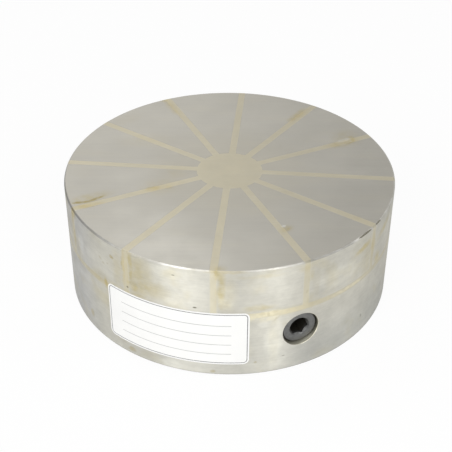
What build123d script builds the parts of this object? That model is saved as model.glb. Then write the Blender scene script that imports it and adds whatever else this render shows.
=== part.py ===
from build123d import *

import math
import os

# Round permanent magnetic chuck with radial poles, switched on and off by a hex key in its side.
#
# Millimetres, +Z up. The origin is the centre of the base, and the key's axis runs out along -Y.
# Twelve steel poles stand in a cast resin grid on a resin seam, over a turned steel housing.
# Inside, a rotor of twelve magnets and twelve steel wedges turns half a pole pitch about a post.
# A pinion on the key shaft drives it through a toothed segment: half a turn of the key switches it.
# Off, each magnet lies under the middle of a pole, which shorts it. On, each lies under a gap.

# Outer form
chuck_dia = 160.0
chuck_height = 60.0
seam_height = 2.8
rim_chamfer = 0.6
foot_chamfer = 0.5

# Pole pattern
pole_count = 12
gap_width = 3.6
hub_dia = 32.0
pole_lead_deg = 1.0

# Housing
wall = 14.0
floor_thickness = 6.0
register_step = 1.0
register_depth = 2.0
key_mouth_chamfer = 0.3
key_roof = 2.7

# Tapped holes that fasten the chuck to a machine
mount_hole_count = 3
mount_hole_dia = 6.8
mount_hole_depth = 13.0

# Screws that hold the poles down
pole_screw_dia = 5.0
pole_screw_head_dia = 8.5
pole_screw_head_height = 5.0
pole_screw_socket = 4.0
pole_screw_socket_depth = 2.5
pole_screw_grip = 9.5
pole_screw_runout = 1.5
pole_screw_play = 0.25
pole_screw_sink = 1.0
pole_screw_head_play = 0.5

# Centre post and its screw
post_dia = 44.0
post_chamfer = 0.5
post_screw_dia = 8.0
post_screw_head_dia = 15.0
post_screw_head_height = 4.0
post_screw_grip = 13.0
post_screw_runout = 1.5
post_screw_socket = 5.0
post_screw_socket_depth = 2.6

# Thrust washer, let into the floor
washer_inner_dia = 60.0
washer_width = 12.0
washer_thickness = 1.6
washer_groove_depth = 0.4
washer_play = 0.1

# Stop pin in the floor, opposite the key
stop_pin_dia = 6.0
stop_pin_seat = 4.0
stop_pin_chamfer = 0.5
stop_play = 0.2

# Rotor
rotor_gap = 0.3
carrier_thickness = 3.8
carrier_lip = 0.5
bush_wall = 3.0
bush_play = 0.05
bush_end_gap = 0.4
sleeve_wall = 3.0
band_thickness = 1.2
band_to_pinion = 1.3
magnet_width = 8.0

# Small countersunk screws, through the carrier into the wedges and the toothed segment
small_screw_dia = 3.0
small_screw_head_dia = 6.0
small_screw_head_height = 1.6
small_screw_socket = 2.0
small_screw_socket_depth = 1.0
small_screw_runout = 1.0
wedge_screw_length = 12.0
wedge_screw_place_share = 0.67
segment_screw_length = 6.0
segment_screw_place_share = 0.33

# Toothed segment and pinion
pinion_teeth = 8
switch_turn_deg = 180.0
pressure_deg = 25.0
profile_shift_share = 0.35
addendum_share = 0.8
dedendum_share = 1.25
flank_play = 0.13
tooth_face = 5.0
crown_edge = 0.2
segment_rim = 2.0
spare_grooves = 1
land_teeth = 2.2
flank_points = 5

# Key shaft
key_bore_dia = 17.6
key_inset = 2.0
head_clearance = 0.2
head_chamfer = 0.5
journal_dia = 14.0
journal_play = 0.03
neck_length = 1.0
key_bush_length = 5.0
end_play = 0.1
socket_flats = 8.0
socket_depth = 8.0
socket_chamfer = 0.35
socket_turn_deg = -8.0

# Seal ring in the head of the key shaft
seal_section = 1.7
seal_play = 0.07
seal_groove_play = 0.3
seal_land = 1.4

# Circlip on the key shaft
circlip_thickness = 1.0
circlip_groove_play = 0.1
circlip_land = 0.5
circlip_wall_play = 0.1
circlip_groove_depth = 0.3
circlip_width = 2.1
circlip_opening_deg = 50.0
circlip_ear_dia = 3.4
circlip_ear_hole_dia = 1.6

# Label on the side
label_length = 70.0
label_height = 30.0
label_thickness = 0.2
label_corner = 2.7
label_bottom = 6.8
label_lead_deg = -42.5

# How far a cutting shape runs past the surface that it opens
overrun = 1.0

# Directions about the chuck's axis
key_side_deg = -90.0
stop_side_deg = key_side_deg + 180.0
pole_pitch_deg = 360.0 / pole_count
switch_travel_deg = pole_pitch_deg / 2

# Main radii, and levels up to the floor
chuck_r = chuck_dia / 2
hub_r = hub_dia / 2
cavity_r = chuck_r - wall
register_r = cavity_r - register_step
floor_top = register_depth + floor_thickness
screw_circle_r = cavity_r + wall / 2
post_r = post_dia / 2

# Places along the key shaft, outwards from the chuck's axis
# The circlip's eyes reach furthest round, and clear the cavity's wall as they turn
key_bore_r = key_bore_dia / 2
journal_r = journal_dia / 2
circlip_groove_r = journal_r - circlip_groove_depth
circlip_reach = circlip_groove_r + circlip_ear_dia
key_bush_inner = math.sqrt(cavity_r**2 - circlip_reach**2) - circlip_wall_play
key_bush_outer = key_bush_inner + key_bush_length
circlip_outer = key_bush_inner - end_play / 2
circlip_inner = circlip_outer - circlip_thickness
journal_inner = circlip_inner - circlip_groove_play / 2 - circlip_land
pinion_outer = journal_inner - neck_length
pinion_inner = pinion_outer - tooth_face
head_back = key_bush_outer + end_play
head_r = key_bore_r - head_clearance
key_face = chuck_r - key_inset
seal_groove_half = seal_section / 2 + seal_groove_play
seal_centre = head_back + seal_land + seal_groove_half
seal_groove_r = key_bore_r - seal_play - seal_section

# Gear sizes: the teeth of a full crown give half a pole pitch for the key's turn
crown_teeth = round(pinion_teeth * switch_turn_deg / switch_travel_deg)
crown_r = (pinion_inner + pinion_outer) / 2
module = 2 * crown_r / crown_teeth
tooth_pitch_deg = 360.0 / crown_teeth
pinion_r = module * pinion_teeth / 2
tooth_line = pinion_r + profile_shift_share * module
pinion_tip_r = tooth_line + addendum_share * module
pinion_root_r = tooth_line - dedendum_share * module

# Levels: the rotor stands on the floor, the key's axis over its toothed segment
# The seam lies over the key's bore, and the poles take the height that is left
washer_bottom = floor_top - washer_groove_depth
carrier_bottom = washer_bottom + washer_thickness
carrier_top = carrier_bottom + carrier_thickness
crown_tooth_root = carrier_top + segment_rim
key_height = crown_tooth_root + tooth_line + dedendum_share * module
crown_tooth_top = key_height - tooth_line + addendum_share * module
housing_height = key_height + key_bore_r + key_roof
pole_floor = housing_height + seam_height
pole_height = chuck_height - pole_floor
rotor_top = pole_floor - rotor_gap
stop_pin_r = stop_pin_dia / 2
stop_pin_bottom = floor_top - stop_pin_seat

# Radii of the rotor
washer_inner_r = washer_inner_dia / 2
washer_outer_r = washer_inner_r + washer_width
bush_inner_r = post_r + bush_play
bush_outer_r = bush_inner_r + bush_wall
sleeve_r = bush_outer_r + sleeve_wall
crown_inner_r = pinion_inner - crown_edge
crown_outer_r = pinion_outer + crown_edge
carrier_r = crown_outer_r + carrier_lip
band_outer_r = pinion_inner - band_to_pinion
block_r = band_outer_r - band_thickness
wedge_screw_r = sleeve_r + wedge_screw_place_share * (block_r - sleeve_r)


# Helpers
def ring(outer_r, inner_r, bottom, top):
    """A ring about Z between two levels, or a disc where the inner radius is 0."""
    stand = (Align.CENTER, Align.CENTER, Align.MIN)
    tube = Cylinder(outer_r, top - bottom, align=stand)
    if inner_r > 0:
        tube -= Cylinder(inner_r, top - bottom, align=stand)
    return Pos(0, 0, bottom) * tube


def turned(*outline):
    """A solid turned about Z from its half section, given as (radius, level) points."""
    section = make_face(Polyline(*[(radius, 0, level) for radius, level in outline], close=True))
    return revolve(section, Axis.Z)


def around(shape, angle_deg):
    """The shape turned about the chuck's axis."""
    return Rot(0, 0, angle_deg) * shape


def sector(outer_r, inner_r, bottom, top, from_deg, to_deg):
    """A piece of a ring between two directions, less than half a turn apart."""
    half_space = Box(chuck_dia, chuck_r, chuck_height, align=(Align.CENTER, Align.MIN, Align.MIN))
    piece = ring(outer_r, inner_r, bottom, top)
    piece &= around(half_space, from_deg)
    piece &= around(half_space, to_deg - 180)
    return piece


def to_key_axis(shape):
    """Lays a shape built about Z, outwards from the chuck's axis, along the key's axis."""
    return Pos(0, 0, key_height) * Rot(90, 0, 0) * shape


def hex_prism(flats, bottom, top):
    """A hexagonal prism about Z between two levels."""
    outline = RegularPolygon(flats / math.sqrt(3), 6)
    return Pos(0, 0, bottom) * extrude(outline, top - bottom)


def one(shape):
    """The only solid of a result."""
    return shape.solids()[0]


def gap_angle(index):
    """The direction of a gap between poles. Gap 0 is beside the key."""
    return key_side_deg + pole_lead_deg + index * pole_pitch_deg


def pole_angle(index):
    """The direction of a pole's middle line."""
    return gap_angle(index) + pole_pitch_deg / 2


def lead_over(solid, from_deg):
    """The direction of a solid, counted on from another direction."""
    middle = solid.center()
    return (math.degrees(math.atan2(middle.Y, middle.X)) - from_deg) % 360


# Screws and their holes
def make_pole_screw():
    """A cap screw pointing up, with its head sunk in the underside."""
    head_top = pole_screw_sink + pole_screw_head_height
    screw = ring(pole_screw_head_dia / 2, 0, pole_screw_sink, head_top)
    screw += ring(pole_screw_dia / 2, 0, head_top, pole_floor + pole_screw_grip)
    socket_top = pole_screw_sink + pole_screw_socket_depth
    screw -= hex_prism(pole_screw_socket, pole_screw_sink - overrun, socket_top)
    return Pos(screw_circle_r, 0, 0) * one(screw)


def make_pole_screw_hole():
    """The counterbore and clearance hole of one cap screw, through housing and seam."""
    head_top = pole_screw_sink + pole_screw_head_height
    hole = ring(pole_screw_head_dia / 2 + pole_screw_head_play, 0, -overrun, head_top)
    hole += ring(pole_screw_dia / 2 + pole_screw_play, 0, head_top, pole_floor)
    return Pos(screw_circle_r, 0, 0) * hole


def make_countersunk_screw(bottom, dia, head_dia, head_height, length, socket, socket_depth):
    """A countersunk screw pointing up, with its head flush with a level."""
    screw = turned(
        (0, bottom),
        (head_dia / 2, bottom),
        (dia / 2, bottom + head_height),
        (dia / 2, bottom + length),
        (0, bottom + length),
    )
    return one(screw - hex_prism(socket, bottom - overrun, bottom + socket_depth))


def make_countersunk_hole(bottom, dia, head_dia, head_height, depth):
    """The hole that such a screw fills, open at the bottom."""
    return turned(
        (0, bottom - overrun),
        (head_dia / 2, bottom - overrun),
        (head_dia / 2, bottom),
        (dia / 2, bottom + head_height),
        (dia / 2, bottom + depth),
        (0, bottom + depth),
    )


def make_small_screw(radius, length):
    """A small countersunk screw, flush with the carrier's underside."""
    screw = make_countersunk_screw(
        carrier_bottom,
        small_screw_dia,
        small_screw_head_dia,
        small_screw_head_height,
        length,
        small_screw_socket,
        small_screw_socket_depth,
    )
    return Pos(radius, 0, 0) * screw


def make_small_screw_hole(radius, length):
    """The hole of a small screw, a little deeper than the screw is long."""
    hole = make_countersunk_hole(
        carrier_bottom,
        small_screw_dia,
        small_screw_head_dia,
        small_screw_head_height,
        length + small_screw_runout,
    )
    return Pos(radius, 0, 0) * hole


# Pole plate
def make_pole_plate():
    """The whole disc of poles and resin, with its chamfered rim."""
    return turned(
        (0, pole_floor),
        (chuck_r, pole_floor),
        (chuck_r, chuck_height - rim_chamfer),
        (chuck_r - rim_chamfer, chuck_height),
        (0, chuck_height),
    )


def make_grid_form():
    """The hub and the straight webs between the poles, run past the rim."""
    form = ring(hub_r, 0, pole_floor, chuck_height)
    stand = (Align.MIN, Align.CENTER, Align.MIN)
    web = Pos(0, 0, pole_floor) * Box(chuck_r + overrun, gap_width, pole_height, align=stand)
    for index in range(pole_count):
        form += around(web, gap_angle(index))
    return form


def make_poles(grid_form):
    """The steel poles, tapped from below, in order from the key."""
    block = make_pole_plate() - grid_form
    tapped_top = pole_floor + pole_screw_grip + pole_screw_runout
    tapped_hole = ring(pole_screw_dia / 2, 0, pole_floor - overrun, tapped_top)
    for index in range(pole_count):
        block -= around(Pos(screw_circle_r, 0, 0) * tapped_hole, pole_angle(index))
    return sorted(block.solids(), key=lambda solid: lead_over(solid, gap_angle(0)))


def make_seam_ring():
    """The resin ring that keeps the poles off the housing."""
    seam = ring(chuck_r, cavity_r, housing_height, pole_floor)
    for index in range(pole_count):
        seam -= around(make_pole_screw_hole(), pole_angle(index))
    return one(seam)


# Housing and what is fixed to its floor
def make_mount_hole():
    """A blind tapped hole with a drilled point."""
    hole_r = mount_hole_dia / 2
    hole = turned(
        (0, -overrun),
        (hole_r, -overrun),
        (hole_r, mount_hole_depth),
        (0, mount_hole_depth + hole_r / math.sqrt(3)),
    )
    return Pos(screw_circle_r, 0, 0) * hole


def make_housing():
    """The turned steel cup that holds everything, with all its holes."""
    housing = turned(
        (0, 0),
        (chuck_r - foot_chamfer, 0),
        (chuck_r, foot_chamfer),
        (chuck_r, housing_height),
        (cavity_r, housing_height),
        (cavity_r, floor_top),
        (0, floor_top),
    )
    key_bore = to_key_axis(ring(key_bore_r, 0, sleeve_r, chuck_r + overrun))
    housing -= key_bore
    mouth = [edge for edge in housing.edges() if is_key_mouth(edge)]
    housing = chamfer(mouth, key_mouth_chamfer)
    housing -= ring(register_r, 0, -overrun, register_depth)
    washer_seat_r = washer_outer_r + washer_play
    washer_eye_r = washer_inner_r - washer_play
    housing -= ring(washer_seat_r, washer_eye_r, washer_bottom, floor_top + overrun)
    for index in range(pole_count):
        housing -= around(make_pole_screw_hole(), pole_angle(index))
    for index in range(mount_hole_count):
        housing -= around(make_mount_hole(), stop_side_deg + index * 360.0 / mount_hole_count)
    housing -= make_countersunk_hole(
        register_depth,
        post_screw_dia,
        post_screw_head_dia,
        post_screw_head_height,
        floor_thickness + overrun,
    )
    housing -= make_stop_place() * ring(stop_pin_r, 0, stop_pin_bottom, floor_top + overrun)
    return one(housing)


def is_key_mouth(edge):
    """True for the edge where the key's bore comes out of the housing's side."""
    middle = edge.center(CenterOf.BOUNDING_BOX)
    off_axis = math.hypot(middle.X, middle.Z - key_height)
    return -middle.Y > chuck_r - key_inset and off_axis < key_bore_r


def make_centre_post():
    """The post that the rotor turns on, which also carries the middle of the pole plate."""
    post = turned(
        (0, floor_top),
        (post_r, floor_top),
        (post_r, pole_floor - post_chamfer),
        (post_r - post_chamfer, pole_floor),
        (0, pole_floor),
    )
    tapped_top = floor_top + post_screw_grip + post_screw_runout
    return one(post - ring(post_screw_dia / 2, 0, floor_top - overrun, tapped_top))


def make_post_screw():
    """The countersunk screw that holds the post, flush with the register."""
    return make_countersunk_screw(
        register_depth,
        post_screw_dia,
        post_screw_head_dia,
        post_screw_head_height,
        floor_thickness + post_screw_grip,
        post_screw_socket,
        post_screw_socket_depth,
    )


def make_stop_place():
    """Where the stop pin stands."""
    return Rot(0, 0, stop_side_deg) * Pos(crown_r, 0, 0)


def make_stop_pin():
    """The pin that ends the rotor's travel both ways."""
    pin = turned(
        (0, stop_pin_bottom),
        (stop_pin_r, stop_pin_bottom),
        (stop_pin_r, carrier_top - stop_pin_chamfer),
        (stop_pin_r - stop_pin_chamfer, carrier_top),
        (0, carrier_top),
    )
    return make_stop_place() * pin


# Rotor
def make_stop_notch():
    """The notch in the carrier's rim that the stop pin stands in, as long as the travel."""
    cutter_r = stop_pin_r + stop_play
    bottom = carrier_bottom - overrun
    top = carrier_top + overrun
    notch_outer_r = carrier_r + overrun
    stand = (Align.MIN, Align.CENTER, Align.MIN)
    mouth = Box(notch_outer_r - crown_r, 2 * cutter_r, top - bottom, align=stand)
    cutter = Pos(crown_r, 0, 0) * (ring(cutter_r, 0, bottom, top) + Pos(0, 0, bottom) * mouth)
    end_deg = stop_side_deg + switch_travel_deg
    notch = sector(notch_outer_r, crown_r - cutter_r, bottom, top, stop_side_deg, end_deg)
    return notch + around(cutter, stop_side_deg) + around(cutter, end_deg)


def make_carrier():
    """The rotor's disc and sleeve, with the stop notch and its screw holes."""
    carrier = turned(
        (bush_outer_r, carrier_bottom),
        (carrier_r, carrier_bottom),
        (carrier_r, carrier_top),
        (sleeve_r, carrier_top),
        (sleeve_r, rotor_top),
        (bush_outer_r, rotor_top),
    )
    carrier -= make_stop_notch()
    for index in range(pole_count):
        hole = make_small_screw_hole(wedge_screw_r, wedge_screw_length)
        carrier -= around(hole, gap_angle(index))
    for angle in segment_screw_angles():
        carrier -= around(make_small_screw_hole(crown_r, segment_screw_length), angle)
    return one(carrier)


def make_magnets():
    """Magnet blocks, one under the middle of each pole while the chuck is off."""
    magnet_end = math.sqrt(block_r**2 - (magnet_width / 2) ** 2)
    stand = (Align.MIN, Align.CENTER, Align.MIN)
    block = Box(magnet_end - sleeve_r, magnet_width, rotor_top - carrier_top, align=stand)
    block = Pos(sleeve_r, 0, carrier_top) * block
    return [one(around(block, pole_angle(index))) for index in range(pole_count)]


def make_wedges():
    """The steel wedges between the magnets, tapped from below, in order from the key."""
    blocks = ring(block_r, sleeve_r, carrier_top, rotor_top)
    stand = (Align.MIN, Align.CENTER, Align.MIN)
    slot_height = rotor_top - carrier_top + 2 * overrun
    slot = Pos(bush_outer_r, 0, carrier_top - overrun) * Box(
        block_r, magnet_width, slot_height, align=stand
    )
    screw_hole = make_small_screw_hole(wedge_screw_r, wedge_screw_length)
    for index in range(pole_count):
        blocks -= around(slot, pole_angle(index))
        blocks -= around(screw_hole, gap_angle(index))
    first_deg = gap_angle(0) - pole_pitch_deg / 2
    return sorted(blocks.solids(), key=lambda solid: lead_over(solid, first_deg))


def make_rotor_bush():
    """The bearing bush in the carrier's sleeve."""
    bottom = carrier_bottom + bush_end_gap
    return ring(bush_outer_r, bush_inner_r, bottom, rotor_top - bush_end_gap)


# Toothed segment, with a groove under the pinion at rest and the rest of the travel after it
def groove_range():
    """The grooves' numbers, in tooth pitches from the key's side."""
    travel_teeth = round(switch_travel_deg / tooth_pitch_deg)
    return range(-spare_grooves, travel_teeth + spare_grooves + 1)


def segment_ends():
    """The directions of the segment's two ends."""
    grooves = groove_range()
    from_deg = key_side_deg + (grooves[0] - land_teeth) * tooth_pitch_deg
    to_deg = key_side_deg + (grooves[-1] + land_teeth) * tooth_pitch_deg
    return from_deg, to_deg


def segment_screw_angles():
    """The directions of the two screws, in the plain lands at the segment's ends."""
    from_deg, to_deg = segment_ends()
    place_deg = segment_screw_place_share * land_teeth * tooth_pitch_deg
    return from_deg + place_deg, to_deg - place_deg


def make_groove():
    """A straight groove with sloping flanks, cut towards the chuck's axis."""
    pressure_slope = math.tan(math.radians(pressure_deg))
    line_half = math.pi * module / 4
    root_half = line_half - dedendum_share * module * pressure_slope
    open_half = line_half + (addendum_share * module + overrun) * pressure_slope
    section = make_face(
        Polyline(
            (0, -root_half, crown_tooth_root),
            (0, root_half, crown_tooth_root),
            (0, open_half, crown_tooth_top + overrun),
            (0, -open_half, crown_tooth_top + overrun),
            close=True,
        )
    )
    length = crown_outer_r - crown_inner_r + 2 * overrun
    return Pos(crown_inner_r - overrun, 0, 0) * extrude(section, length, dir=(1, 0, 0))


def make_toothed_segment():
    """The piece of a crown gear that the pinion rolls along."""
    segment = sector(crown_outer_r, crown_inner_r, carrier_top, crown_tooth_top, *segment_ends())
    for index in groove_range():
        segment -= around(make_groove(), key_side_deg + index * tooth_pitch_deg)
    for angle in segment_screw_angles():
        segment -= around(make_small_screw_hole(crown_r, segment_screw_length), angle)
    return one(segment)


# Pinion, with a tooth pointing down at rest
def involute(angle):
    """How far an involute runs on at a pressure angle, in radians."""
    return math.tan(angle) - angle


def flank_point(radius, side):
    """A point of a flank, on one side of a tooth that points along +X."""
    pressure = math.radians(pressure_deg)
    base_r = pinion_r * math.cos(pressure)
    thickness = math.pi * module / 2 - 2 * flank_play
    thickness += 2 * profile_shift_share * module * math.tan(pressure)
    half_angle = thickness / (2 * pinion_r) + involute(pressure)
    half_angle -= involute(math.acos(base_r / radius))
    return (radius * math.cos(half_angle), side * radius * math.sin(half_angle))


def make_tooth():
    """One tooth's outline, which reaches into the pinion's core."""
    base_r = pinion_r * math.cos(math.radians(pressure_deg))
    steps = [(step / (flank_points - 1)) ** 2 for step in range(flank_points)]
    radii = [base_r + (pinion_tip_r - base_r) * step for step in steps]
    lower = [flank_point(radius, -1) for radius in radii]
    upper = [flank_point(radius, 1) for radius in reversed(radii)]
    core = pinion_root_r / 2
    edges = [
        Line((core, lower[0][1]), lower[0]),
        Spline(*lower),
        ThreePointArc(lower[-1], (pinion_tip_r, 0), upper[0]),
        Spline(*upper),
        Line(upper[-1], (core, upper[-1][1])),
        Line((core, upper[-1][1]), (core, lower[0][1])),
    ]
    return make_face(edges)


def make_pinion():
    """The teeth on the inner end of the key shaft."""
    down_deg = -90.0
    pinion = ring(pinion_root_r, 0, pinion_inner, pinion_outer)
    tooth = Pos(0, 0, pinion_inner) * extrude(make_tooth(), tooth_face)
    for index in range(pinion_teeth):
        pinion += around(tooth, down_deg + index * 360.0 / pinion_teeth)
    return pinion


# Key shaft and what is on it
def make_shaft_body():
    """The turned shaft: neck, journal with a circlip groove, and head with a seal groove."""
    clip_from = circlip_inner - circlip_groove_play / 2
    clip_to = circlip_outer + circlip_groove_play / 2
    return turned(
        (0, pinion_outer),
        (pinion_root_r, pinion_outer),
        (pinion_root_r, journal_inner),
        (journal_r, journal_inner),
        (journal_r, clip_from),
        (circlip_groove_r, clip_from),
        (circlip_groove_r, clip_to),
        (journal_r, clip_to),
        (journal_r, head_back),
        (head_r, head_back),
        (head_r, seal_centre - seal_groove_half),
        (seal_groove_r, seal_centre - seal_groove_half),
        (seal_groove_r, seal_centre + seal_groove_half),
        (head_r, seal_centre + seal_groove_half),
        (head_r, key_face - head_chamfer),
        (head_r - head_chamfer, key_face),
        (0, key_face),
    )


def make_socket():
    """The hexagon socket with its chamfered mouth."""
    mouth_r = socket_flats / math.sqrt(3) + socket_chamfer
    mouth = turned(
        (0, key_face - mouth_r),
        (mouth_r + overrun, key_face + overrun),
        (0, key_face + overrun),
    )
    prism = hex_prism(socket_flats, key_face - socket_depth, key_face + overrun)
    return around(prism, socket_turn_deg) + mouth


def make_key_shaft():
    """Pinion and shaft in one piece."""
    return to_key_axis(one(make_pinion() + make_shaft_body() - make_socket()))


def make_key_bush():
    """The bush that the key shaft's journal runs in."""
    return to_key_axis(ring(key_bore_r, journal_r + journal_play, key_bush_inner, key_bush_outer))


def make_key_seal():
    """The round seal in the head's groove."""
    section_r = seal_section / 2
    return to_key_axis(Pos(0, 0, seal_centre) * Torus(seal_groove_r + section_r, section_r))


def make_circlip():
    """The circlip, open at the top, with an eye at each end."""
    clip_r = circlip_groove_r + circlip_width
    clip = ring(clip_r, circlip_groove_r, circlip_inner, circlip_outer)
    reach = 2 * clip_r
    spread = reach * math.tan(math.radians(circlip_opening_deg / 2))
    opening = make_face(Polyline((0, 0), (-spread, reach), (spread, reach), close=True))
    cut_length = circlip_thickness + 2 * overrun
    clip -= Pos(0, 0, circlip_inner - overrun) * extrude(opening, cut_length)
    ear_r = circlip_ear_dia / 2
    for side in (-1, 1):
        ear_deg = 90.0 + side * circlip_opening_deg / 2
        place = Rot(0, 0, ear_deg) * Pos(circlip_groove_r + ear_r, 0, 0)
        clip += place * ring(ear_r, 0, circlip_inner, circlip_outer)
        clip -= place * ring(circlip_ear_hole_dia / 2, 0, circlip_inner, circlip_outer)
    return to_key_axis(one(clip))


# Label
def make_label():
    """The label, bent round the side."""
    chord = chuck_dia * math.sin(label_length / chuck_dia)
    blank = Rot(90, 0, 0) * extrude(RectangleRounded(chord, label_height, label_corner), chuck_dia)
    shell = ring(chuck_r + label_thickness, chuck_r, 0, chuck_height)
    label = shell & Pos(0, 0, label_bottom + label_height / 2) * blank
    return one(around(label, label_lead_deg))


def save(node, *solids):
    """Writes one node as a STEP file."""
    body = solids[0] if len(solids) == 1 else Compound(list(solids))
    body.label = node
    export_step(body, f"parts/{node}.step")


def save_each(name, solids):
    """Writes like pieces as numbered nodes."""
    for index, solid in enumerate(solids):
        save(f"{name}_{index + 1:02d}", solid)


os.makedirs("parts", exist_ok=True)

grid_form = make_grid_form()
save("resin_grid", one(make_pole_plate() & grid_form))
save_each("pole", make_poles(grid_form))
save("seam_ring", make_seam_ring())
save("housing", make_housing())
save("pole_screws", *[around(make_pole_screw(), pole_angle(index)) for index in range(pole_count)])

save("centre_post", make_centre_post())
save("post_screw", make_post_screw())
save("thrust_washer", ring(washer_outer_r, washer_inner_r, washer_bottom, carrier_bottom))
save("stop_pin", make_stop_pin())

save("rotor_carrier", make_carrier())
save_each("magnet", make_magnets())
save_each("rotor_wedge", make_wedges())
save("rotor_band", ring(band_outer_r, block_r, carrier_top, rotor_top))
save("rotor_bush", make_rotor_bush())
wedge_screw = make_small_screw(wedge_screw_r, wedge_screw_length)
save("wedge_screws", *[around(wedge_screw, gap_angle(index)) for index in range(pole_count)])
segment_screw = make_small_screw(crown_r, segment_screw_length)
save("toothed_segment", make_toothed_segment())
save("segment_screws", *[around(segment_screw, angle) for angle in segment_screw_angles()])

save("key_shaft", make_key_shaft())
save("key_bush", make_key_bush())
save("key_seal", make_key_seal())
save("key_circlip", make_circlip())
save("label", make_label())
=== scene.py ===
import math
from typing import NamedTuple

import bpy
from bpy.props import FloatProperty, FloatVectorProperty, IntProperty, PointerProperty
from mathutils import Matrix, Vector


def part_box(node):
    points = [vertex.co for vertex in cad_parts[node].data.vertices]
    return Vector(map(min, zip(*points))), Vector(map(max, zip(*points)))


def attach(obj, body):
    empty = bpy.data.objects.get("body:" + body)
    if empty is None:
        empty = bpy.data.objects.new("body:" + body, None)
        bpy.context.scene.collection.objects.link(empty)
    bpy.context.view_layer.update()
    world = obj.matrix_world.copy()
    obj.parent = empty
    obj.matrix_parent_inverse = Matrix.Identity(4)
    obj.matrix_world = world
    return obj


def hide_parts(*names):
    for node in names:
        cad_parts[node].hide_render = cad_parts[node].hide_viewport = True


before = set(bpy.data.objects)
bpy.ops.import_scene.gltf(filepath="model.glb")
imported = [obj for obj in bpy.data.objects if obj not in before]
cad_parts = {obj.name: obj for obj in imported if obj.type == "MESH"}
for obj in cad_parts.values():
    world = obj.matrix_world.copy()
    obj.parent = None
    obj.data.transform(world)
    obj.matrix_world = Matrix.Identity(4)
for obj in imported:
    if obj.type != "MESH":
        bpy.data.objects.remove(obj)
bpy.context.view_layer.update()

# Finishes, label film, camera and studio for the round magnetic chuck.
#
# Metres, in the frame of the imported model: +Z up, the base's centre at the origin, the key towards -Y.
# The picture looks at the chuck from 24 degrees left of the key. Places on the top face are given as
# right and away, in millimetres from its centre as the picture lies. Places on the side are given as
# degrees to the right of the side's nearest line, and millimetres below the top face.

bl_info = {
    "name": "Magnetic chuck finishes",
    "version": (1, 0, 0),
    "blender": (4, 5, 0),
    "location": "View3D > Sidebar > Chuck",
    "description": "Dresses a round magnetic chuck: steel, resin, key, label and studio",
    "category": "Material",
}

MM = 0.001

# Sizes that the finishes take from the frame
HOUSING_LOW, HOUSING_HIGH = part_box("housing")
KEY_LOW, KEY_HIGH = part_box("key_shaft")
LABEL_LOW, LABEL_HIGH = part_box("label")
CHUCK_R = HOUSING_HIGH.x
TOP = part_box("resin_grid")[1].z
KEY_FACE = -KEY_LOW.y
KEY_AXIS = (KEY_LOW.z + KEY_HIGH.z) / 2
KEY_R = (KEY_HIGH.x - KEY_LOW.x) / 2

# One degree on the side, in metres of arc
DEGREE = math.radians(1.0) * CHUCK_R

# The webs of resin between the poles: turn of one of them from the side's nearest line, and half width
WEB_TURN = math.radians(-5.0)
WEB_HALF = 1.8 * MM
HUB_R = 16 * MM

# Circle through the corners of the key's socket
SOCKET_R = 4.9 * MM

# The label film: the turn of its middle about the axis, its middle in metres of arc right of the side's
# nearest line, the tube's flats, how many of them the film takes, and its gap to the side
LABEL_TURN = math.atan2((LABEL_LOW.y + LABEL_HIGH.y) / 2, (LABEL_LOW.x + LABEL_HIGH.x) / 2)
LABEL_MIDDLE = -18.5 * DEGREE
FILM_FLATS = 144
FILM_COLUMNS = 20
FILM_STAND_OFF = 0.03 * MM

# The label's printed rules: millimetres below the work face of each, half length and half width
RULE_LEVELS = (30.5, 36.0, 41.5, 47.0)
RULE_HALF_LENGTH = 27.0 * MM
RULE_HALF_WIDTH = 0.2 * MM

# Stretches of the side, in degrees right of the camera: begins, full, fades, ends, strength. They carry
# painted shade on the rim's chamfer, painted shade low on the side, and a painted cool reflection on the
# left.
PAINTED_RIM_SHADE_LEFT = (-100.0, -72.0, -44.0, -31.0, 1.0)
PAINTED_RIM_SHADE_RIGHT = (20.0, 27.0, 43.0, 46.0, 0.75)
PAINTED_LOW_SHADE_RIGHT = (16.0, 27.0, 80.0, 150.0, 0.6)
PAINTED_COOL_REFLECTION_LEFT = (-150.0, -80.0, -62.0, -46.0, 1.0)

# Least strength of the painted shade on the rim's chamfer and of the painted shade low on the side, all round
PAINTED_RIM_SHADE_ALL_ROUND = 0.2
PAINTED_LOW_SHADE_ALL_ROUND = 0.4

# Factors on the steel's colour: painted shade on the rim's chamfer, painted shade on the foot's edge, painted
# shade low on the side, a painted cool reflection far left, and the oily tint in the bore
PAINTED_RIM_SHADE_FACTOR = 0.52
PAINTED_FOOT_SHADE = 0.6
PAINTED_LOW_SHADE_TINT = (0.87, 0.885, 0.91)
PAINTED_COOL_REFLECTION_TINT = (0.985, 1.0, 1.07)
OILY_TINT = (0.98, 0.96, 0.86)

# Colours on the key shaft's head: bright specks, rubbed edges, and the painted shade in its socket and round
# its edge
KEY_SPECK = (0.3, 0.3, 0.3)
KEY_WORN = (0.25, 0.25, 0.235)
KEY_PAINTED_SHADE = (0.018, 0.016, 0.012)

# The seal ring's rubber, and where it is worn dull
RUBBER = (0.018, 0.018, 0.019)
RUBBER_WORN = (0.06, 0.06, 0.06)

# How far the metal's reflections are drawn out across its grain
GRAIN = 0.85

# Shares of the white background that the floor shows to the camera and to mirrored rays
FLOOR_SEEN = 0.93
FLOOR_MIRRORED = 0.5


class Marks(NamedTuple):
    """Marks of one kind: how far their edges wander, how soft they are as a share, and their places."""

    ragged: float
    soft: float
    places: dict
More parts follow.
